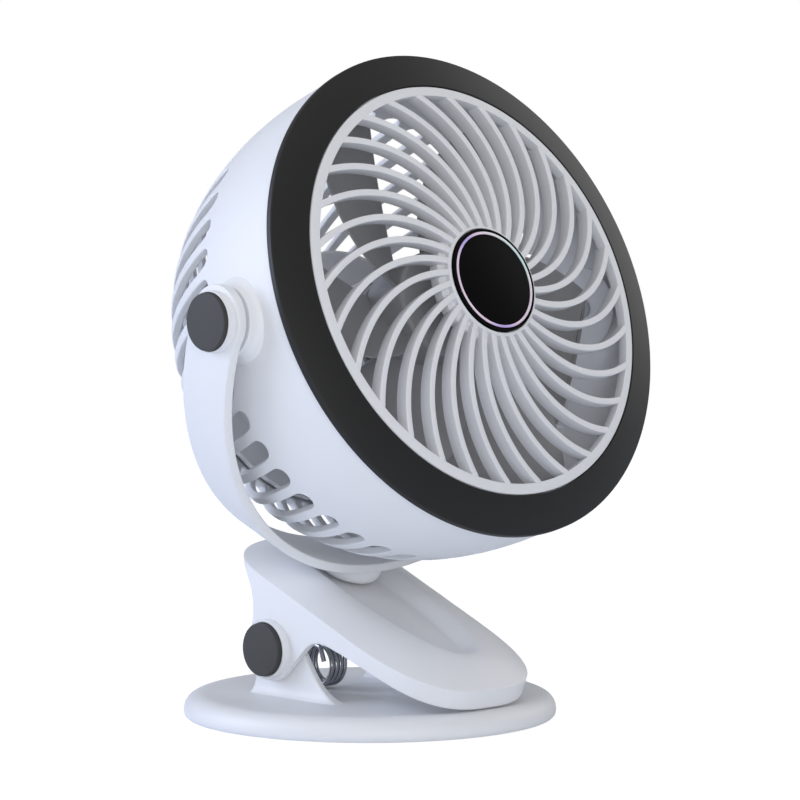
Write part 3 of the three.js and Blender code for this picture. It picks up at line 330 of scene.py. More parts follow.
def curve(points, steps=60):
    """A Bezier curve of any degree through its first and last control point."""
    points = np.asarray(points, float)
    t = np.linspace(0, 1, steps)[:, None]
    while len(points) > 1:
        rest = [np.broadcast_to(p, (steps, 2)) for p in points]
        points = [a * (1 - t) + b * t for a, b in zip(rest[:-1], rest[1:])]
    return points[0]


def hinge_ear(side):
    """A stack of rounded oblongs: the front edge sweeps up in a hollow curve to the round top, and the
    thickness swells by a fading exponential where the ear meets the base."""
    foot, top = base_top - 1.0, hinge_z + hinge_boss_radius
    height = foot + (top - foot) * np.sin(np.linspace(0, np.pi / 2, 70))
    meeting = 0.72 * np.pi
    boss = hinge_boss_radius
    toe = hinge_y - 30.0
    run_in = (hinge_y + boss * math.cos(meeting), hinge_z + boss * math.sin(meeting))
    sweep = curve([(toe, foot), (toe + 13, foot + 3.4), (toe + 13.5, hinge_z - 6), run_in])
    behind = hinge_y + boss
    back = curve([(hinge_y + 13.4, foot), (behind, base_top), (behind, hinge_z)])
    reach = np.sqrt(np.clip(boss ** 2 - (height - hinge_z) ** 2, 0, None))
    front = np.where(height > run_in[1], hinge_y - reach, np.interp(height, sweep[:, 1], sweep[:, 0]))
    rear = np.where(height > hinge_z, hinge_y + reach, np.interp(height, back[:, 1], back[:, 0]))
    half_thickness = ear_half_thickness + 2.0 * np.exp(-(height - base_top + 0.6) / 1.1)
    angle = np.linspace(0, 2 * np.pi, 64, endpoint=False)
    across = np.sign(np.cos(angle)) * np.abs(np.cos(angle)) ** 0.35
    along = np.sign(np.sin(angle)) * np.abs(np.sin(angle)) ** 0.35
    x = side * ear_middle + half_thickness[:, None] * across
    y = (front + rear)[:, None] / 2 + (rear - front)[:, None] / 2 * along
    return skin(np.stack([x, y, np.broadcast_to(height[:, None], x.shape)], -1))


solid("base_body", [turned(dish_profile, 220), hinge_ear(-1), hinge_ear(1)], "base",
      white_plastic, "base_shell")

# ---- Foot pad and bottom plate ----
# A black rubber pad with rings pressed into it keeps the base from sliding; the grey plate above
# it closes the base and stays hidden.
rubber = plastic("rubber", (0.045, 0.045, 0.047), (0.03, 0.03, 0.032), 0.82, 0.00008, 60.0, 1500.0, 0.3)
pad_radius = 52.0
tread = [(0, 0.0)]
for ring in np.arange(12.0, pad_radius - 4, 8.0):
    tread += [(ring, 0.0), (ring + 0.5, 0.5), (ring + 1.7, 0.5), (ring + 2.2, 0.0)]
tread += [(pad_radius, 0.0), (pad_radius, 1.5), (0, 1.5)]
solid("foot_rubber", [turned(corner_softened(tread, 0.3, 2), 128)], "base", rubber, "foot_pad")


def dressed(nodes, material):
    """Gives CAD nodes that are kept as they are a material."""
    for node in nodes:
        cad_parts[node].data.materials[0] = material


inner_plastic = plastic("inner_plastic", (0.55, 0.56, 0.58), (0.5, 0.51, 0.53), 0.5, 0.00003)
dressed(["base_plate"], inner_plastic)

# ---- Torsion spring ----
# Dark oiled steel wire wound in three close turns, with one end bent in across the bore and a
# long leg that runs up to the ceiling of the lever. It lies free between the two ears.
wire_radius = 0.75
coil_radius = 6.25
coil_x, coil_y = -7.9, 16.5
coil_pitch = 1.8
coil_z = base_top + 0.3 + coil_radius + wire_radius
coil_turns = 3
leg_lean, leg_top_y, leg_top_z = 9.6, hinge_y - 2.1, 38.9


def wire_path():
    """The wire's middle line in millimetres: the cut end, the helix along X, and the leg."""
    start = np.pi * 0.6
    sweep = coil_turns * 2 * np.pi + np.pi + start
    turn = np.linspace(0, sweep, 260)
    angle = start - turn
    helix = np.stack([coil_x + coil_pitch * turn / (2 * np.pi), coil_y + coil_radius * np.cos(angle),
                      coil_z + coil_radius * np.sin(angle)], -1)
    first, last = helix[0], helix[-1]
    cut_end = np.array([(first[0] + 0.2, coil_y - 4.0, coil_z + 1.4),
                        (first[0], first[1] - 0.6, first[2] - 0.1)])
    leg = np.array([(last[0] + 0.1, last[1], last[2] + 9.0), (last[0] + leg_lean, leg_top_y, leg_top_z)])
    near = corner_softened(np.vstack([cut_end, helix[:2]]), 0.8, 6)
    far = corner_softened(np.vstack([helix[-2:], leg]), 3.0, 8)
    return np.vstack([near[:-1], helix[1:-1], far[1:]])


def tube(path, radius, sides=14):
    """Rings square to a path. One side of each ring is the path's direction crossed with X, and the
    other is the direction crossed with that."""
    step = np.gradient(path, axis=0)
    along = step / np.linalg.norm(step, axis=1, keepdims=True)
    across = np.cross(along, [1.0, 0.0, 0.0])
    across = np.where(np.linalg.norm(across, axis=1, keepdims=True) < 1e-3, [0.0, 1.0, 0.0], across)
    across /= np.linalg.norm(across, axis=1, keepdims=True)
    other = np.cross(along, across)
    angle = np.linspace(0, 2 * np.pi, sides, endpoint=False)
    ring = np.cos(angle)[None, :, None] * across[:, None] + np.sin(angle)[None, :, None] * other[:, None]
    return skin(path[:, None] + radius * ring)


def metal(name, colour, roughness):
    """Bare metal whose tone and gloss vary finely, down to four fifths of its colour."""
    dark = [0.8 * channel for channel in colour]
    material, shader = grained(name, colour, dark, roughness, 0.00001, 320.0, 2000.0, 0.2)
    shader.inputs["Metallic"].default_value = 1.0
    return material


spring_steel = metal("spring_steel", (0.42, 0.43, 0.45), 0.22)
solid("spring_wire", [tube(wire_path(), wire_radius)], "base",
      spring_steel, "torsion_spring")

# ---- Clip lever ----
# The clip's upper jaw, one hollow white moulding. A sharp edge divides its upright skirt from a
# domed top with a long finger recess, and two cheeks reach down to bosses on the hinge.
jaw_slope = math.radians(22.5)
jaw_origin = np.array([0.0, 10.97, 40.34])
jaw_half_width = 28.0
jaw_tip, jaw_tail = 70.3, 30.0
jaw_wall = 2.4
jaw_crown = 5.0


def jaw_space(points):
    """From the jaw's own frame, whose Z is square to its edge plane, to the fan's frame."""
    c, s = math.cos(jaw_slope), math.sin(jaw_slope)
    x, y, z = points[..., 0], points[..., 1], points[..., 2]
    return np.stack([x, y * c - z * s, y * s + z * c], -1) + jaw_origin


hinge_offset = np.array([hinge_y, hinge_z]) - jaw_origin[1:]
hinge_in_jaw = np.array([
    hinge_offset[0] * math.cos(jaw_slope) + hinge_offset[1] * math.sin(jaw_slope),
    -hinge_offset[0] * math.sin(jaw_slope) + hinge_offset[1] * math.cos(jaw_slope),
])
front_end, rear_start = -28.0, 8.0


def jaw_border():
    """The lower edge of the cheek seen from the side, from the skirt round the hinge to the tail."""
    y, z = hinge_in_jaw
    cheek = hinge_boss_radius + 0.5
    angle = np.linspace(math.radians(196), math.radians(357), 40)
    arc = np.stack([y + cheek * np.cos(angle), z + cheek * np.sin(angle)], -1)
    before = [(front_end, -6.2), (-23.0, -6.8), (-18.8, -9.8), (-16.5, -14.8), arc[0]]
    after = [arc[-1], (y + 10.3, z + 4.4), (y + 12.6, z + 9.9), (y + 17, z + 14.6)]
    before, after = corner_softened(before, 6, 8), corner_softened(after, 3, 8)
    return np.vstack([before[:-1], arc, after[1:]])


border = jaw_border()
side_count = 90


def side_points_of(edge):
    """The border's points along one straight side of the jaw, evenly spaced by its length."""
    side = edge[(edge[:, 0] > front_end) & (edge[:, 0] < rear_start)]
    length = np.r_[0, np.cumsum(np.linalg.norm(np.diff(side, axis=0), axis=1))]
    even = np.linspace(0, length[-1], side_count)
    return np.column_stack([np.interp(even, length, side[:, k]) for k in (0, 1)])


side_points = side_points_of(border)
end_angle = np.linspace(0, np.pi, 91)
front_power, rear_power = 2.9, 2.5


def jaw_row(inset):
    """One closed row of the jaw's outline drawn in by an inset: x and y of every column. Each end is
    half a superellipse, so x and y are powers of the cosine and the sine of an angle."""
    half = jaw_half_width - inset

    def end(power, length, middle, way):
        """Half a superellipse from side to side; the way is 1 for the tip and -1 for the tail."""
        c, s = np.cos(end_angle), np.sin(end_angle)
        x = half * np.sign(c) * np.abs(c) ** (2 / power)
        return np.stack([way * x, middle + way * -length * np.abs(s) ** (2 / power)], -1)

    front = end(front_power, jaw_tip + front_end - inset, front_end, 1)[::-1]
    rear = end(rear_power, jaw_tail - rear_start - inset, rear_start, -1)[::-1]
    right = np.stack([np.full(len(side_points), half), side_points[:, 0]], -1)
    left = np.stack([np.full(len(side_points), -half), side_points[::-1, 0]], -1)
    return np.vstack([front[:-1], right, rear[1:-1], left])


def smooth_through(knots, at):
    """A smooth curve through (x, value) knots read at given x: a cubic between each two knots,
    with the slope at a knot taken from its neighbours."""
    x, value = np.asarray(knots, float).T
    slope = np.gradient(value, x)
    k = np.clip(np.searchsorted(x, at, side="right") - 1, 0, len(x) - 2)
    width = x[k + 1] - x[k]
    t = (at - x[k]) / width
    return ((2 * t ** 3 - 3 * t ** 2 + 1) * value[k] + (t ** 3 - 2 * t ** 2 + t) * width * slope[k]
            + (-2 * t ** 3 + 3 * t ** 2) * value[k + 1] + (t ** 3 - t ** 2) * width * slope[k + 1])


def end_lower_edge(y):
    """The height of the skirt's lower edge round the jaw's two ends, by y."""
    front = smooth_through([(-72, -6.4), (-60, -5.9), (-44, -5.3), (-33, -5.7), (front_end, -6.2)],
                           np.clip(y, -72, front_end))
    y0, z0 = hinge_in_jaw
    side_end = border[np.abs(border[:, 0] - rear_start).argmin(), 1]
    rear = smooth_through([(rear_start, side_end), (y0 + 14.0, z0 + 12.0), (y0 + 17, z0 + 14.6),
                           (y0 + 22.5, z0 + 17.3), (32, -1.2)], np.clip(y, rear_start, 32))
    return np.where(y < 0, front, rear)


def jaw_lower():
    """The height of the skirt's lower edge at every column of a row: the border along the two sides,
    and a smooth curve round the ends."""
    low = end_lower_edge(jaw_row(0.0)[:, 1])
    count = len(end_angle) - 1
    low[count:count + side_count] = side_points[:, 1]
    low[-side_count:] = side_points[::-1, 1]
    return low


lower_edge = jaw_lower()
dish_half_width, dish_front, dish_rear = 14.6, 57.5, 13.0
dish_depth, dish_wall = 3.6, 6.0


def recess_row(inset):
    """The finger dish at the jaw's columns: a long half ellipse in front of the boss, a short one behind.
    Each column's direction from the middle picks its point on the dish's outline."""
    outline = jaw_row(0.0)
    behind = outline[:, 1] > 0
    reach = np.where(behind, jaw_tail, jaw_tip)
    direction = np.arctan2(outline[:, 1] / reach, outline[:, 0] / jaw_half_width)
    length = np.where(behind, dish_rear, dish_front) - inset
    power = np.where(behind, 1.0, 2 / 2.5)
    across, along = np.abs(np.cos(direction)) ** power, np.abs(np.sin(direction)) ** power
    return np.stack([(dish_half_width - inset) * np.sign(np.cos(direction)) * across,
                     length * np.sign(np.sin(direction)) * along], -1)


def blended(a, b, share):
    """The mean of a and b, weighted so that a share of 0 gives a and 1 gives b."""
    return a * (1 - share) + b * share


def jaw_grid():
    """Rows from the ceiling out and down the inner wall, round the lower edge and up the outer wall,
    then over the domed top and into the recess."""
    rows = []

    def add(outline, height):
        """One more row: an outline at one height, or at a height for each column."""
        height = np.broadcast_to(height, len(outline))
        rows.append(np.column_stack([outline, height]))

    ceiling, fillet = -0.2, 2.0
    edge_round, edge_soft = 0.45, 0.12
    for inset in (20, 12, 7, jaw_wall + fillet):
        add(jaw_row(inset), ceiling)
    for angle in np.linspace(0.15, 1, 5) * np.pi / 2:
        inset = jaw_wall + fillet * (1 - math.sin(angle))
        add(jaw_row(inset), ceiling - fillet * (1 - math.cos(angle)))
    top = ceiling - fillet
    for share in np.linspace(0.12, 1, 12):
        add(jaw_row(jaw_wall), np.minimum(top - 0.01, blended(top, lower_edge + 0.4, share)))
    add(jaw_row(jaw_wall - edge_soft), lower_edge + edge_soft)
    add(jaw_row(jaw_wall - edge_round), lower_edge)
    add(jaw_row(edge_round), lower_edge)
    add(jaw_row(edge_soft), lower_edge + edge_soft)
    for share in np.linspace(0, 1, 12):
        add(jaw_row(0.0), blended(lower_edge + edge_round, -0.1, share))
    inner, rim = jaw_row(edge_soft), recess_row(0.0)
    for share in np.r_[0.0, np.linspace(0.03, 1, 24)]:
        add(blended(inner, rim, share), 0.02 + jaw_crown * math.sin(share * math.pi / 2))
    for share in np.linspace(0.06, 1, 16):
        sink = dish_depth * (0.5 - 0.5 * math.cos(share * math.pi))
        add(recess_row(dish_wall * share), jaw_crown + 0.02 - sink)
    for share in (0.8, 0.55, 0.3, 0.1):
        add(recess_row(dish_wall) * share, jaw_crown + 0.02 - dish_depth)
    return np.stack(rows)


def turned_across(profile, side, y=0.0, z=0.0):
    """Revolves a profile and lays it along one side of the X axis, through a point (y, z)."""

    def laid(points):
        """X takes the height along the profile's axis, and Y and Z the turned circle."""
        return np.stack([side * points[..., 2], side * points[..., 0] + y, points[..., 1] + z], -1)

    return moved(turned(profile, 96), laid)


boss_radius, boss_face = 9.1, 30.4
boss_seat_radius, boss_seat = 8.3, 29.5


def hinge_boss(side):
    """A round boss on the cheek with a shallow seat that its cap stands out of."""
    profile = corner_softened(
        [(0, 27.0), (boss_radius, 27.0), (boss_radius, boss_face), (boss_seat_radius, boss_face),
         (boss_seat_radius, boss_seat), (0, boss_seat)], (0, 0.3, 0.4, 0.15, 0.2, 0), 3)
    return turned_across(profile, side, *hinge_in_jaw)


lever_parts = [skin(jaw_grid()), hinge_boss(-1), hinge_boss(1)]
solid("lever_body", [moved(part, jaw_space) for part in lever_parts], "lever",
      white_plastic, "clip_lever")

# ---- Jaw pad ----
# A black rubber pad under the jaw's tip that grips the board. It is glued into the hollow of the
# jaw, and its rounded foot is set low so that a dark sliver shows below the skirt: painted shade
# for the shadow in the gap under the tip.
grip_inset, grip_rear = 10.7, -57.6


def pad_row(inset, height):
    """The jaw's outline drawn in and cut off behind the tip."""
    outline = jaw_row(inset)
    y = np.minimum(outline[:, 1], grip_rear - (inset - grip_inset))
    return np.column_stack([outline[:, 0], y, np.full(len(y), height)])


# The lowest row drops the foot below the skirt, so its dark rubber shows as painted shade under the tip.
pad_rows = [pad_row(grip_inset, -2.6), pad_row(grip_inset, -7.2),
            pad_row(grip_inset + 0.3, -7.7), pad_row(grip_inset + 1.1, -8.1)]
solid("tip_pad_with_painted_shade", [moved(skin(np.stack(pad_rows)), jaw_space)], "lever", rubber, "jaw_pad")

# ---- Pins and caps ----
# Turned steel pins carry the lever in the ears and the head in the yoke's arms. A pressed-in
# charcoal plastic cap with a soft edge hides the outer end of each.
cap_plastic = plastic("black_plastic", (0.054, 0.054, 0.053), (0.048, 0.048, 0.047), 0.55, 0.00003,
                      80.0, 3500.0, 0.3)
pin_steel = metal("pin_steel", (0.56, 0.57, 0.59), 0.3)
dressed(["hinge_pin_left", "hinge_pin_right", "tilt_pin_left", "tilt_pin_right",
         "swivel_screw", "swivel_washer", "motor_shaft"], pin_steel)
yoke_height = 90.2


def yoke_space(points):
    """From the frame at the tilt axis, upright along the yoke, to the fan's frame."""
    return jaw_space(points + np.array([0, 0, yoke_height]))


def cap(radius, seat, face, side, y=0.0, z=0.0):
    """A flat round button with a soft edge, from its seat to its face along one side of the X axis."""
    profile = corner_softened([(0, seat), (radius, seat), (radius, face), (0, face)], 0.35, 5)
    return turned_across(profile, side, y, z)


hinge_cap_radius, hinge_cap_seat, hinge_cap_face = 8.1, 29.6, 32.0
tilt_cap_radius, tilt_cap_seat, tilt_cap_face = 8.3, 83.7, 86.0
for side, word in ((-1, "left"), (1, "right")):
    lower = moved(cap(hinge_cap_radius, hinge_cap_seat, hinge_cap_face, side, *hinge_in_jaw), jaw_space)
    upper = moved(cap(tilt_cap_radius, tilt_cap_seat, tilt_cap_face, side), yoke_space)
    solid(f"hinge_button_{word}", [lower], "lever", cap_plastic, f"hinge_cap_{word}")
    solid(f"tilt_button_{word}", [upper], "yoke", cap_plastic, f"tilt_cap_{word}")

# ---- Yoke ----
# A thin white bow round the head. Its arms end in round pads with raised collars for the tilt
# pins, and its foot is a round boss that turns on the lever.
yoke_inside, yoke_thickness = 79.5, 3.0
arm_half_width, arm_end_radius, arm_corner = 10.0, 10.6, 0.55


def bow():
    """A rounded oblong section carried up one arm, round under the head and up the other arm."""
    end = np.linspace(0, 1, 26)
    rise = arm_end_radius * np.sin(np.pi / 2 * (1 - end ** 1.6))
    angle = np.linspace(0, np.pi, 180)[1:-1]
    middle = yoke_inside + yoke_thickness / 2
    left = np.column_stack([np.full(len(rise), -middle), rise])
    round_under = np.column_stack([-middle * np.cos(angle), -middle * np.sin(angle)])
    right = left[::-1] * (-1, 1)
    path = np.vstack([left, round_under, right])
    outward = np.vstack([np.tile((-1.0, 0.0), (len(left), 1)),
                         np.column_stack([-np.cos(angle), -np.sin(angle)]),
                         np.tile((1.0, 0.0), (len(right), 1))])
    height = path[:, 1]
    pad = np.sqrt(np.clip(arm_end_radius ** 2 - height ** 2, 0.0, None))
    neck = -math.sqrt(arm_end_radius ** 2 - arm_half_width ** 2)
    width = np.where(height > neck, np.maximum(pad, 0.05), arm_half_width)[:, None]
    corner = np.minimum(arm_corner, width * 0.9)
    turn = np.radians(np.linspace((0, 90, 180, 270), (90, 180, 270, 360), 6, axis=1)).reshape(1, -1)
    quarter = np.radians(45 + 90 * (np.arange(turn.size) // 6))[None]
    across = (width - corner) * np.sign(np.cos(quarter)) + corner * np.cos(turn)
    through = (yoke_thickness / 2 - corner) * np.sign(np.sin(quarter)) + corner * np.sin(turn)
    grid = np.stack([path[:, :1] + outward[:, :1] * through, across,
                     path[:, 1:] + outward[:, 1:] * through], -1)
    return skin(grid)


collar_radius, collar_face = 8.95, 84.7
collar_seat_radius, collar_seat = 8.5, 83.6


def collar(side):
    """A low round collar on the arm's end with a seat for the cap."""
    profile = corner_softened(
        [(0, 80.5), (collar_radius, 80.5), (collar_radius, collar_face), (collar_seat_radius, collar_face),
         (collar_seat_radius, collar_seat), (0, collar_seat)], (0, 0.3, 0.3, 0.1, 0.2, 0), 4)
    return turned_across(profile, side)


swivel_radius, swivel_top, swivel_foot = 9.75, -80.5, -87.5
swivel_boss = turned(corner_softened([(0, swivel_top), (swivel_radius, swivel_top),
                                      (swivel_radius, swivel_foot), (0, swivel_foot)], 4.0, 10), 96)
yoke_parts = [bow(), collar(-1), collar(1), swivel_boss]
solid("yoke_bow", [moved(part, yoke_space) for part in yoke_parts], "yoke",
      white_plastic, "yoke")

# ---- Rear shell ----
# A deep white bowl whose wall is cut by forty-five slots that start round in front and swirl a
# little towards the rear. Two bosses at its sides take the tilt pins.
head_turn = math.radians(47.44)


def head_space(points):
    """From the head's frame, whose Z is the fan's axis to the front and Y is up, to the fan's frame."""
    c, s = math.cos(head_turn), math.sin(head_turn)
    x, y, z = points[..., 0], points[..., 1], points[..., 2]
    return yoke_space(np.stack([x, y * c - z * s, y * s + z * c], -1))


shell_radius, shell_bend, shell_depth, shell_wall = 74.3, 9.08, 78.7, 2.5
shell_front = 18.4
slots, slot_phase, slot_swirl = 45, -54.5, 7.0
slot_half = 2.6
slot_first, slot_last, cap_edge = 14.3, 62.9, 67.5
round_front, round_rear = 2.75, 2.6


def meridian(angle, inset=0.0):
    """The shell's section by its angle from the bend to the rear pole: radius and depth, which are powers
    of the cosine and the sine, moved in square to the section by an inset."""
    a = np.clip(np.radians(angle), 1e-3, np.pi / 2 - 1e-3)

    def at(a):
        """The outer section's point at an angle in radians."""
        radius, depth = np.cos(a) ** 0.68, np.sin(a) ** 0.943
        return np.stack([shell_radius * radius, shell_bend - shell_depth * depth], -1)

    step = at(a + 1e-4) - at(a - 1e-4)
    step /= np.linalg.norm(step, axis=-1, keepdims=True)
    return at(a) + inset * np.stack([step[..., 1], -step[..., 0]], -1)


def rear_bowl():
    """A lattice of cells: columns follow the swirl, and rows bend round the slots' ends. Its outer and
    inner layers are joined by walls wherever a cell borders on a slot or on the bowl's own edge."""
    slot_columns, rib_columns = 8, 3
    per_slot = slot_columns + rib_columns
    columns = slots * per_slot
    pitch = 360 / slots
    across = np.r_[-slot_half * np.cos(np.pi * np.arange(slot_columns + 1) / slot_columns),
                   np.linspace(slot_half, pitch - slot_half, rib_columns + 1)[1:-1]]
    bulge = 1 - np.sqrt(1 - np.clip(np.abs(across) / slot_half, 0, 1) ** 2)
    front_rows = [0.0, 0.0, 3.0, 7.0, 10.5]
    slot_rows = np.linspace(slot_first + round_front, slot_last - round_rear, 26)
    angles = np.stack([
        *(np.full(per_slot, row) for row in front_rows),
        slot_first + round_front * bulge,
        *(np.full(per_slot, row) for row in slot_rows[1:-1]),
        slot_last - round_rear * bulge,
        *(np.full(per_slot, row) for row in (cap_edge - 2.0, cap_edge)),
    ])
    slot_start, slot_end = len(front_rows), len(front_rows) + len(slot_rows) - 1
    rows = len(angles)
    full = np.tile(angles, (1, slots))
    swirl = np.clip(full - slot_first, 0, None) / (slot_last - slot_first) * slot_swirl
    straight = pitch * (np.arange(columns) // per_slot) + np.tile(across, slots)
    turn = np.radians(slot_phase + straight - swirl)
    layers = []
    for inset in (0.0, shell_wall):
        section = meridian(full, inset)
        section[0, :, 1] = shell_front
        radius, depth = section[..., 0], section[..., 1]
        layers.append(np.stack([radius * np.sin(turn), radius * np.cos(turn), depth], -1))
    vertices = np.concatenate([layer.reshape(-1, 3) for layer in layers])
    cells = np.ones((rows - 1, columns), bool)
    in_slot = (np.arange(columns) % per_slot) < slot_columns
    cells[slot_start:slot_end, in_slot] = False
    number = np.arange(rows * columns).reshape(rows, columns)
    a, b = number[:-1], np.roll(number[:-1], -1, 1)
    c, d = np.roll(number[1:], -1, 1), number[1:]
    inward = rows * columns
    outer = np.stack([a, b, c, d], -1)[cells]
    inner = np.stack([a, d, c, b], -1)[cells] + inward
    padded = np.pad(cells, ((1, 1), (0, 0)))
    walls = []
    for start, end, beside in ((a, b, padded[:-2]), (b, c, np.roll(cells, -1, 1)),
                               (c, d, padded[2:]), (d, a, np.roll(cells, 1, 1))):
        edge = cells & ~beside
        p, q = start[edge], end[edge]
        walls.append(np.stack([q, p, p + inward, q + inward], -1))
    return turned_outward(vertices, np.vstack([outer, inner, *walls]), np.empty((0, 3), int))


side_boss_radius, side_boss_flare, side_boss_face = 10.4, 12.6, 78.1


def side_boss(side):
    """The round boss on the bowl's side that the tilt pin enters, with a flare where it meets the wall."""
    profile = corner_softened(
        [(0, 70), (side_boss_flare, 70), (side_boss_flare, 73.4), (side_boss_radius, 75.2),
         (side_boss_radius, side_boss_face), (0, side_boss_face)], (0, 0.2, 0.4, 1.4, 0.4, 0), 8)
    return turned_across(profile, side)


shell_parts = [rear_bowl(), side_boss(-1), side_boss(1)]
shell = solid("shell_bowl", [moved(part, head_space) for part in shell_parts], "head",
              white_plastic, "rear_shell")
edges = shell.modifiers.new("soft_edges", "BEVEL")
edges.width = 0.35 * mm
edges.segments = 2
edges.limit_method = "ANGLE"
edges.angle_limit = math.radians(50)

# ---- Trim ring ----
# A satin black plastic ring with a conical face. It closes the bowl and frames the grille, and a
# short collar behind it presses into the bowl's mouth.
ring_plastic = plastic("ring_plastic", (0.011, 0.011, 0.011), (0.009, 0.009, 0.009), 0.46, 0.00003,
                       60.0, 3500.0, 0.35)
ring_outside, ring_bore = 75, 63.8
ring_profile = corner_softened([
    (71.5, 15.7), (71.5, 18.7), (ring_outside, 18.7), (ring_outside, 20.66), (ring_bore, 24.5),
    (ring_bore, 22.1), (69.5, 15.7), (71.5, 15.7)], (0, 0.2, 0.25, 0.4, 0.3, 0.2, 0.2, 0), 4)
solid("ring_front", [moved(turned(ring_profile, 240), head_space)], "head",
      ring_plastic, "trim_ring")

# ---- Front grille ----
# Thirty slim fins curl from a hub to a rim, all one moulding in a slightly greyer white.
# Each fin is a bar with a rounded front face, deeper than it is wide.
grille_plastic = plastic("grille_plastic", (0.72, 0.73, 0.75), (0.68, 0.69, 0.71), 0.5, 0.00003)
fins, fin_phase = 30, 4.4
fin_width, fin_depth = 2.0, 4.6
fin_lean, fin_curl = 0.5256, 0.0053
grille_radius, badge_radius = 63.5, 15.87
rim_bore, rim_back = grille_radius - 3.1, 21.6
hub_radius = 17.17


def grille_face(radius):
    """The grille's shallow dome: its depth by radius."""
    return 24.4 + 7.2 * (1 - (radius / grille_radius) ** 2)


def fin(phase):
    """A rounded bar carried out along a curve that lags behind the hub: by the lean times the distance
    from the hub plus the curl times its square, in degrees. Its end sinks into the rim's face."""
    radius = np.linspace(16.3, rim_bore + 0.9, 48)
    out = radius - hub_radius
    turn = np.radians(phase - fin_lean * out - fin_curl * out ** 2)
    line = np.stack([radius * np.sin(turn), radius * np.cos(turn)], -1)
    step = np.gradient(line, axis=0)
    step /= np.linalg.norm(step, axis=1, keepdims=True)
    across = np.stack([step[:, 1], -step[:, 0]], -1)
    half, soft = fin_width / 2, 0.35
    section = corner_softened([(0, -fin_depth), (half * 0.8, -fin_depth), (half, 0), (-half, 0),
                               (-half * 0.8, -fin_depth), (0, -fin_depth)], soft, 3)[:-1]
    face = grille_face(radius) - np.clip(radius - rim_bore, 0, 0.25)
    grid = np.empty((len(radius), len(section), 3))
    grid[..., :2] = line[:, None] + across[:, None] * section[None, :, :1]
    grid[..., 2] = face[:, None] + section[None, :, 1]
    return skin(grid)


rim = turned(corner_softened([
    (62, rim_back), (grille_radius, rim_back), (grille_radius, 24.4), (rim_bore, grille_face(rim_bore)),
    (rim_bore, rim_back), (62, rim_back)], 0.3, 3), 240)
badge_seat = 30.09
hub = turned(corner_softened([
    (0, badge_seat - 5), (hub_radius + 2.2, badge_seat - 5), (hub_radius + 2.2, badge_seat - 1.6),
    (hub_radius, badge_seat - 0.8), (hub_radius, grille_face(hub_radius)),
    (hub_radius - 1.0, grille_face(hub_radius) + 0.3), (hub_radius - 1.0, badge_seat), (0, badge_seat)],
    0.3, 3), 128)
fin_skins = [fin(fin_phase + k * 360 / fins) for k in range(fins)]
solid("grille_front", [moved(part, head_space) for part in (rim, hub, *fin_skins)], "head",
      grille_plastic, "front_grille")

# ---- Badge ----
# A flat black plastic disc glued into the middle of the grille, with a thin foil ring in a groove
# near its edge. The foil's tone shifts between violet, pink and cyan. It carries nothing else.
badge_plastic = plastic("badge_plastic", (0.003, 0.003, 0.003), (0.002, 0.002, 0.002), 0.5, 0.00001,
                        40.0, 4000.0, 0.05)
badge_face = 31.99
badge_back = badge_face - 1.6
groove_inside, groove_outside, groove_floor = 13.8, 15.2, badge_face - 0.4
disc = corner_softened([
    (0, badge_back), (badge_radius, badge_back), (badge_radius, badge_face), (groove_outside, badge_face),
    (groove_outside, groove_floor), (groove_inside, groove_floor), (groove_inside, badge_face),
    (0, badge_face)], 0.08, 2)
solid("badge_plate", [moved(turned(disc, 128), head_space)], "head",
      badge_plastic, "badge_disc")
foil = bpy.data.materials.new("badge_foil")
foil.use_nodes = True
nodes, links = foil.node_tree.nodes, foil.node_tree.links
shader = nodes["Principled BSDF"]
shader.inputs["Metallic"].default_value = 0.35
shader.inputs["Roughness"].default_value = 0.35
place = nodes.new("ShaderNodeTexCoord")
shift = nodes.new("ShaderNodeTexNoise")
shift.inputs["Scale"].default_value = 45.0
shift.inputs["Detail"].default_value = 1.0
colours = nodes.new("ShaderNodeValToRGB")
colours.color_ramp.elements[0].color = (0.62, 0.50, 0.95, 1.0)
colours.color_ramp.elements[0].position = 0.3
colours.color_ramp.elements[1].color = (0.62, 0.95, 0.95, 1.0)
colours.color_ramp.elements[1].position = 0.7
for position, colour in ((0.42, (0.95, 0.75, 0.92, 1.0)), (0.55, (0.93, 0.93, 0.93, 1.0))):
    stop = colours.color_ramp.elements.new(position)
    stop.color = colour
links.new(place.outputs["Object"], shift.inputs["Vector"])
links.new(shift.outputs["Fac"], colours.inputs["Fac"])
links.new(colours.outputs["Color"], shader.inputs["Base Color"])
foil_inside, foil_outside, foil_back, foil_face = 14.1, 14.9, 31.9, 32.14
foil_ring = corner_softened(
    [(foil_inside, foil_back), (foil_outside, foil_back), (foil_outside, foil_face),
     (foil_inside, foil_face), (foil_inside, foil_back)], 0.1, 2)
solid("badge_line", [moved(turned(foil_ring, 128), head_space)], "head", foil, "badge_ring")

# ---- Fan blades ----
# Six broad dark grey blades on a domed hub. Each is a thin twisted sheet with rounded edges:
# its trailing edge is in front, and its tip is swept forward in the turn's direction.
blade_plastic = plastic("blade_plastic", (0.34, 0.34, 0.35), (0.30, 0.30, 0.31), 0.45, 0.00003)
blade_front, blade_rear = 9.0, -7.0
rotor_hub, blade_middle, blade_tip = 17.0, 53.0, 63.0


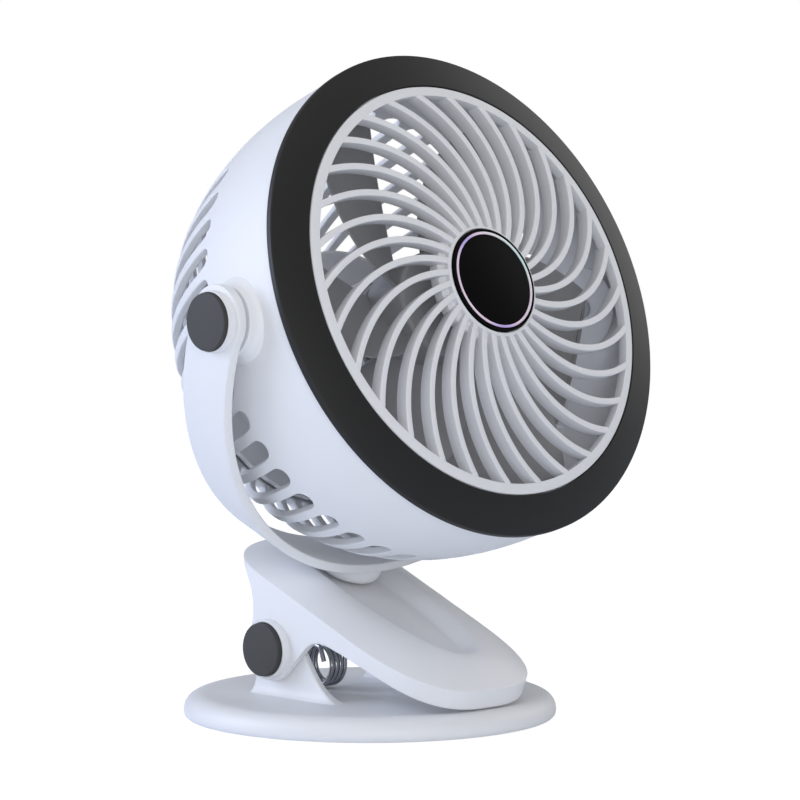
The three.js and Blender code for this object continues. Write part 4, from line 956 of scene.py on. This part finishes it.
def blade(phase):
    """Section rows from hub to tip: a bulged line from trailing to leading edge, thick in the middle.
    Both edges' angles are in degrees and grow in proportion to the distance from the blade's middle."""
    radius = np.linspace(rotor_hub - 1, blade_tip, 28)[:, None]
    trailing = -41 + 0.87 * (radius - blade_middle)
    leading = 3 + 0.1 * (radius - blade_middle)
    loop = np.linspace(0, 2 * np.pi, 36, endpoint=False)[None]
    share = 0.5 - 0.5 * np.cos(loop)
    turn = np.radians(phase + trailing + (leading - trailing) * share)
    depth = blade_front + (blade_rear - blade_front) * share - 2 * np.sin(share * np.pi)
    thickness = 0.8 * np.sign(np.sin(loop)) * np.abs(np.sin(loop)) ** 0.5
    grid = np.stack([radius * np.sin(turn), radius * np.cos(turn),
                     np.broadcast_to(depth + thickness, turn.shape)], -1)
    return skin(grid)


rotor_profile = corner_softened([(0, blade_rear), (rotor_hub, blade_rear), (rotor_hub, blade_front + 0.6),
                                 (0, blade_front + 2)], 1.6, 6)
rotor = [turned(rotor_profile, 96)] + [blade(k * 60) for k in range(6)]
solid("rotor_blades", [moved(part, head_space) for part in rotor], "fan",
      blade_plastic, "fan_rotor")

# ---- Motor and its housing ----
# A drawn metal can held in the sleeve of a white housing, which is fixed to the bowl's rear. The
# battery in its blue wrap and the green circuit board sit behind the motor, inside the housing.
motor_metal = metal("motor_can", (0.6, 0.61, 0.63), 0.3)
motor_radius, motor_rear, motor_front = 15, -33, -11
motor_profile = corner_softened([
    (0, motor_rear), (motor_radius, motor_rear), (motor_radius, motor_front), (4, motor_front),
    (4, motor_front + 1.5), (1.9, motor_front + 1.5), (1.9, -19), (0, -19)], 0.8, 4)
solid("motor_body", [moved(turned(motor_profile, 96), head_space)], "head",
      motor_metal, "motor")
housing_rear, housing_front, housing_wall = -59, -30, 2.0
housing_radius, flange_radius, sleeve_radius = 31.5, 41.6, 17.3
inside, sleeve_bore, sleeve_front = housing_radius - housing_wall, sleeve_radius - housing_wall, -15
housing_profile = corner_softened([
    (inside, housing_rear), (flange_radius, housing_rear), (flange_radius, housing_rear + housing_wall),
    (housing_radius, housing_rear + housing_wall), (housing_radius, housing_front),
    (sleeve_radius, housing_front), (sleeve_radius, sleeve_front), (sleeve_bore, sleeve_front),
    (sleeve_bore, housing_front - housing_wall), (inside, housing_front - housing_wall),
    (inside, housing_rear)], (0, 0.3, 0.3, 1.5, 3, 1, 0.4, 0.4, 0.5, 1, 0), 5)
solid("motor_cup", [moved(turned(housing_profile, 128), head_space)], "head",
      white_plastic, "motor_housing")
wrap = plastic("battery_wrap", (0.1, 0.28, 0.52), (0.08, 0.24, 0.46), 0.35, 0.00002)
dressed(["battery_pack"], wrap)
board = plastic("circuit_board", (0.03, 0.2, 0.1), (0.02, 0.15, 0.08), 0.4, 0.00002)
dressed(["circuit_board"], board)

# ---- Rear cap, button and inlet ----
# A white plastic cap closes the bowl's rear and carries the round power button and the plated
# charging inlet. The three are the CAD's own pieces, which only get their materials here.
socket_steel = metal("socket_steel", (0.6, 0.61, 0.63), 0.3)
dressed(["rear_cap"], white_plastic)
dressed(["power_button"], blade_plastic)
dressed(["charge_socket"], socket_steel)
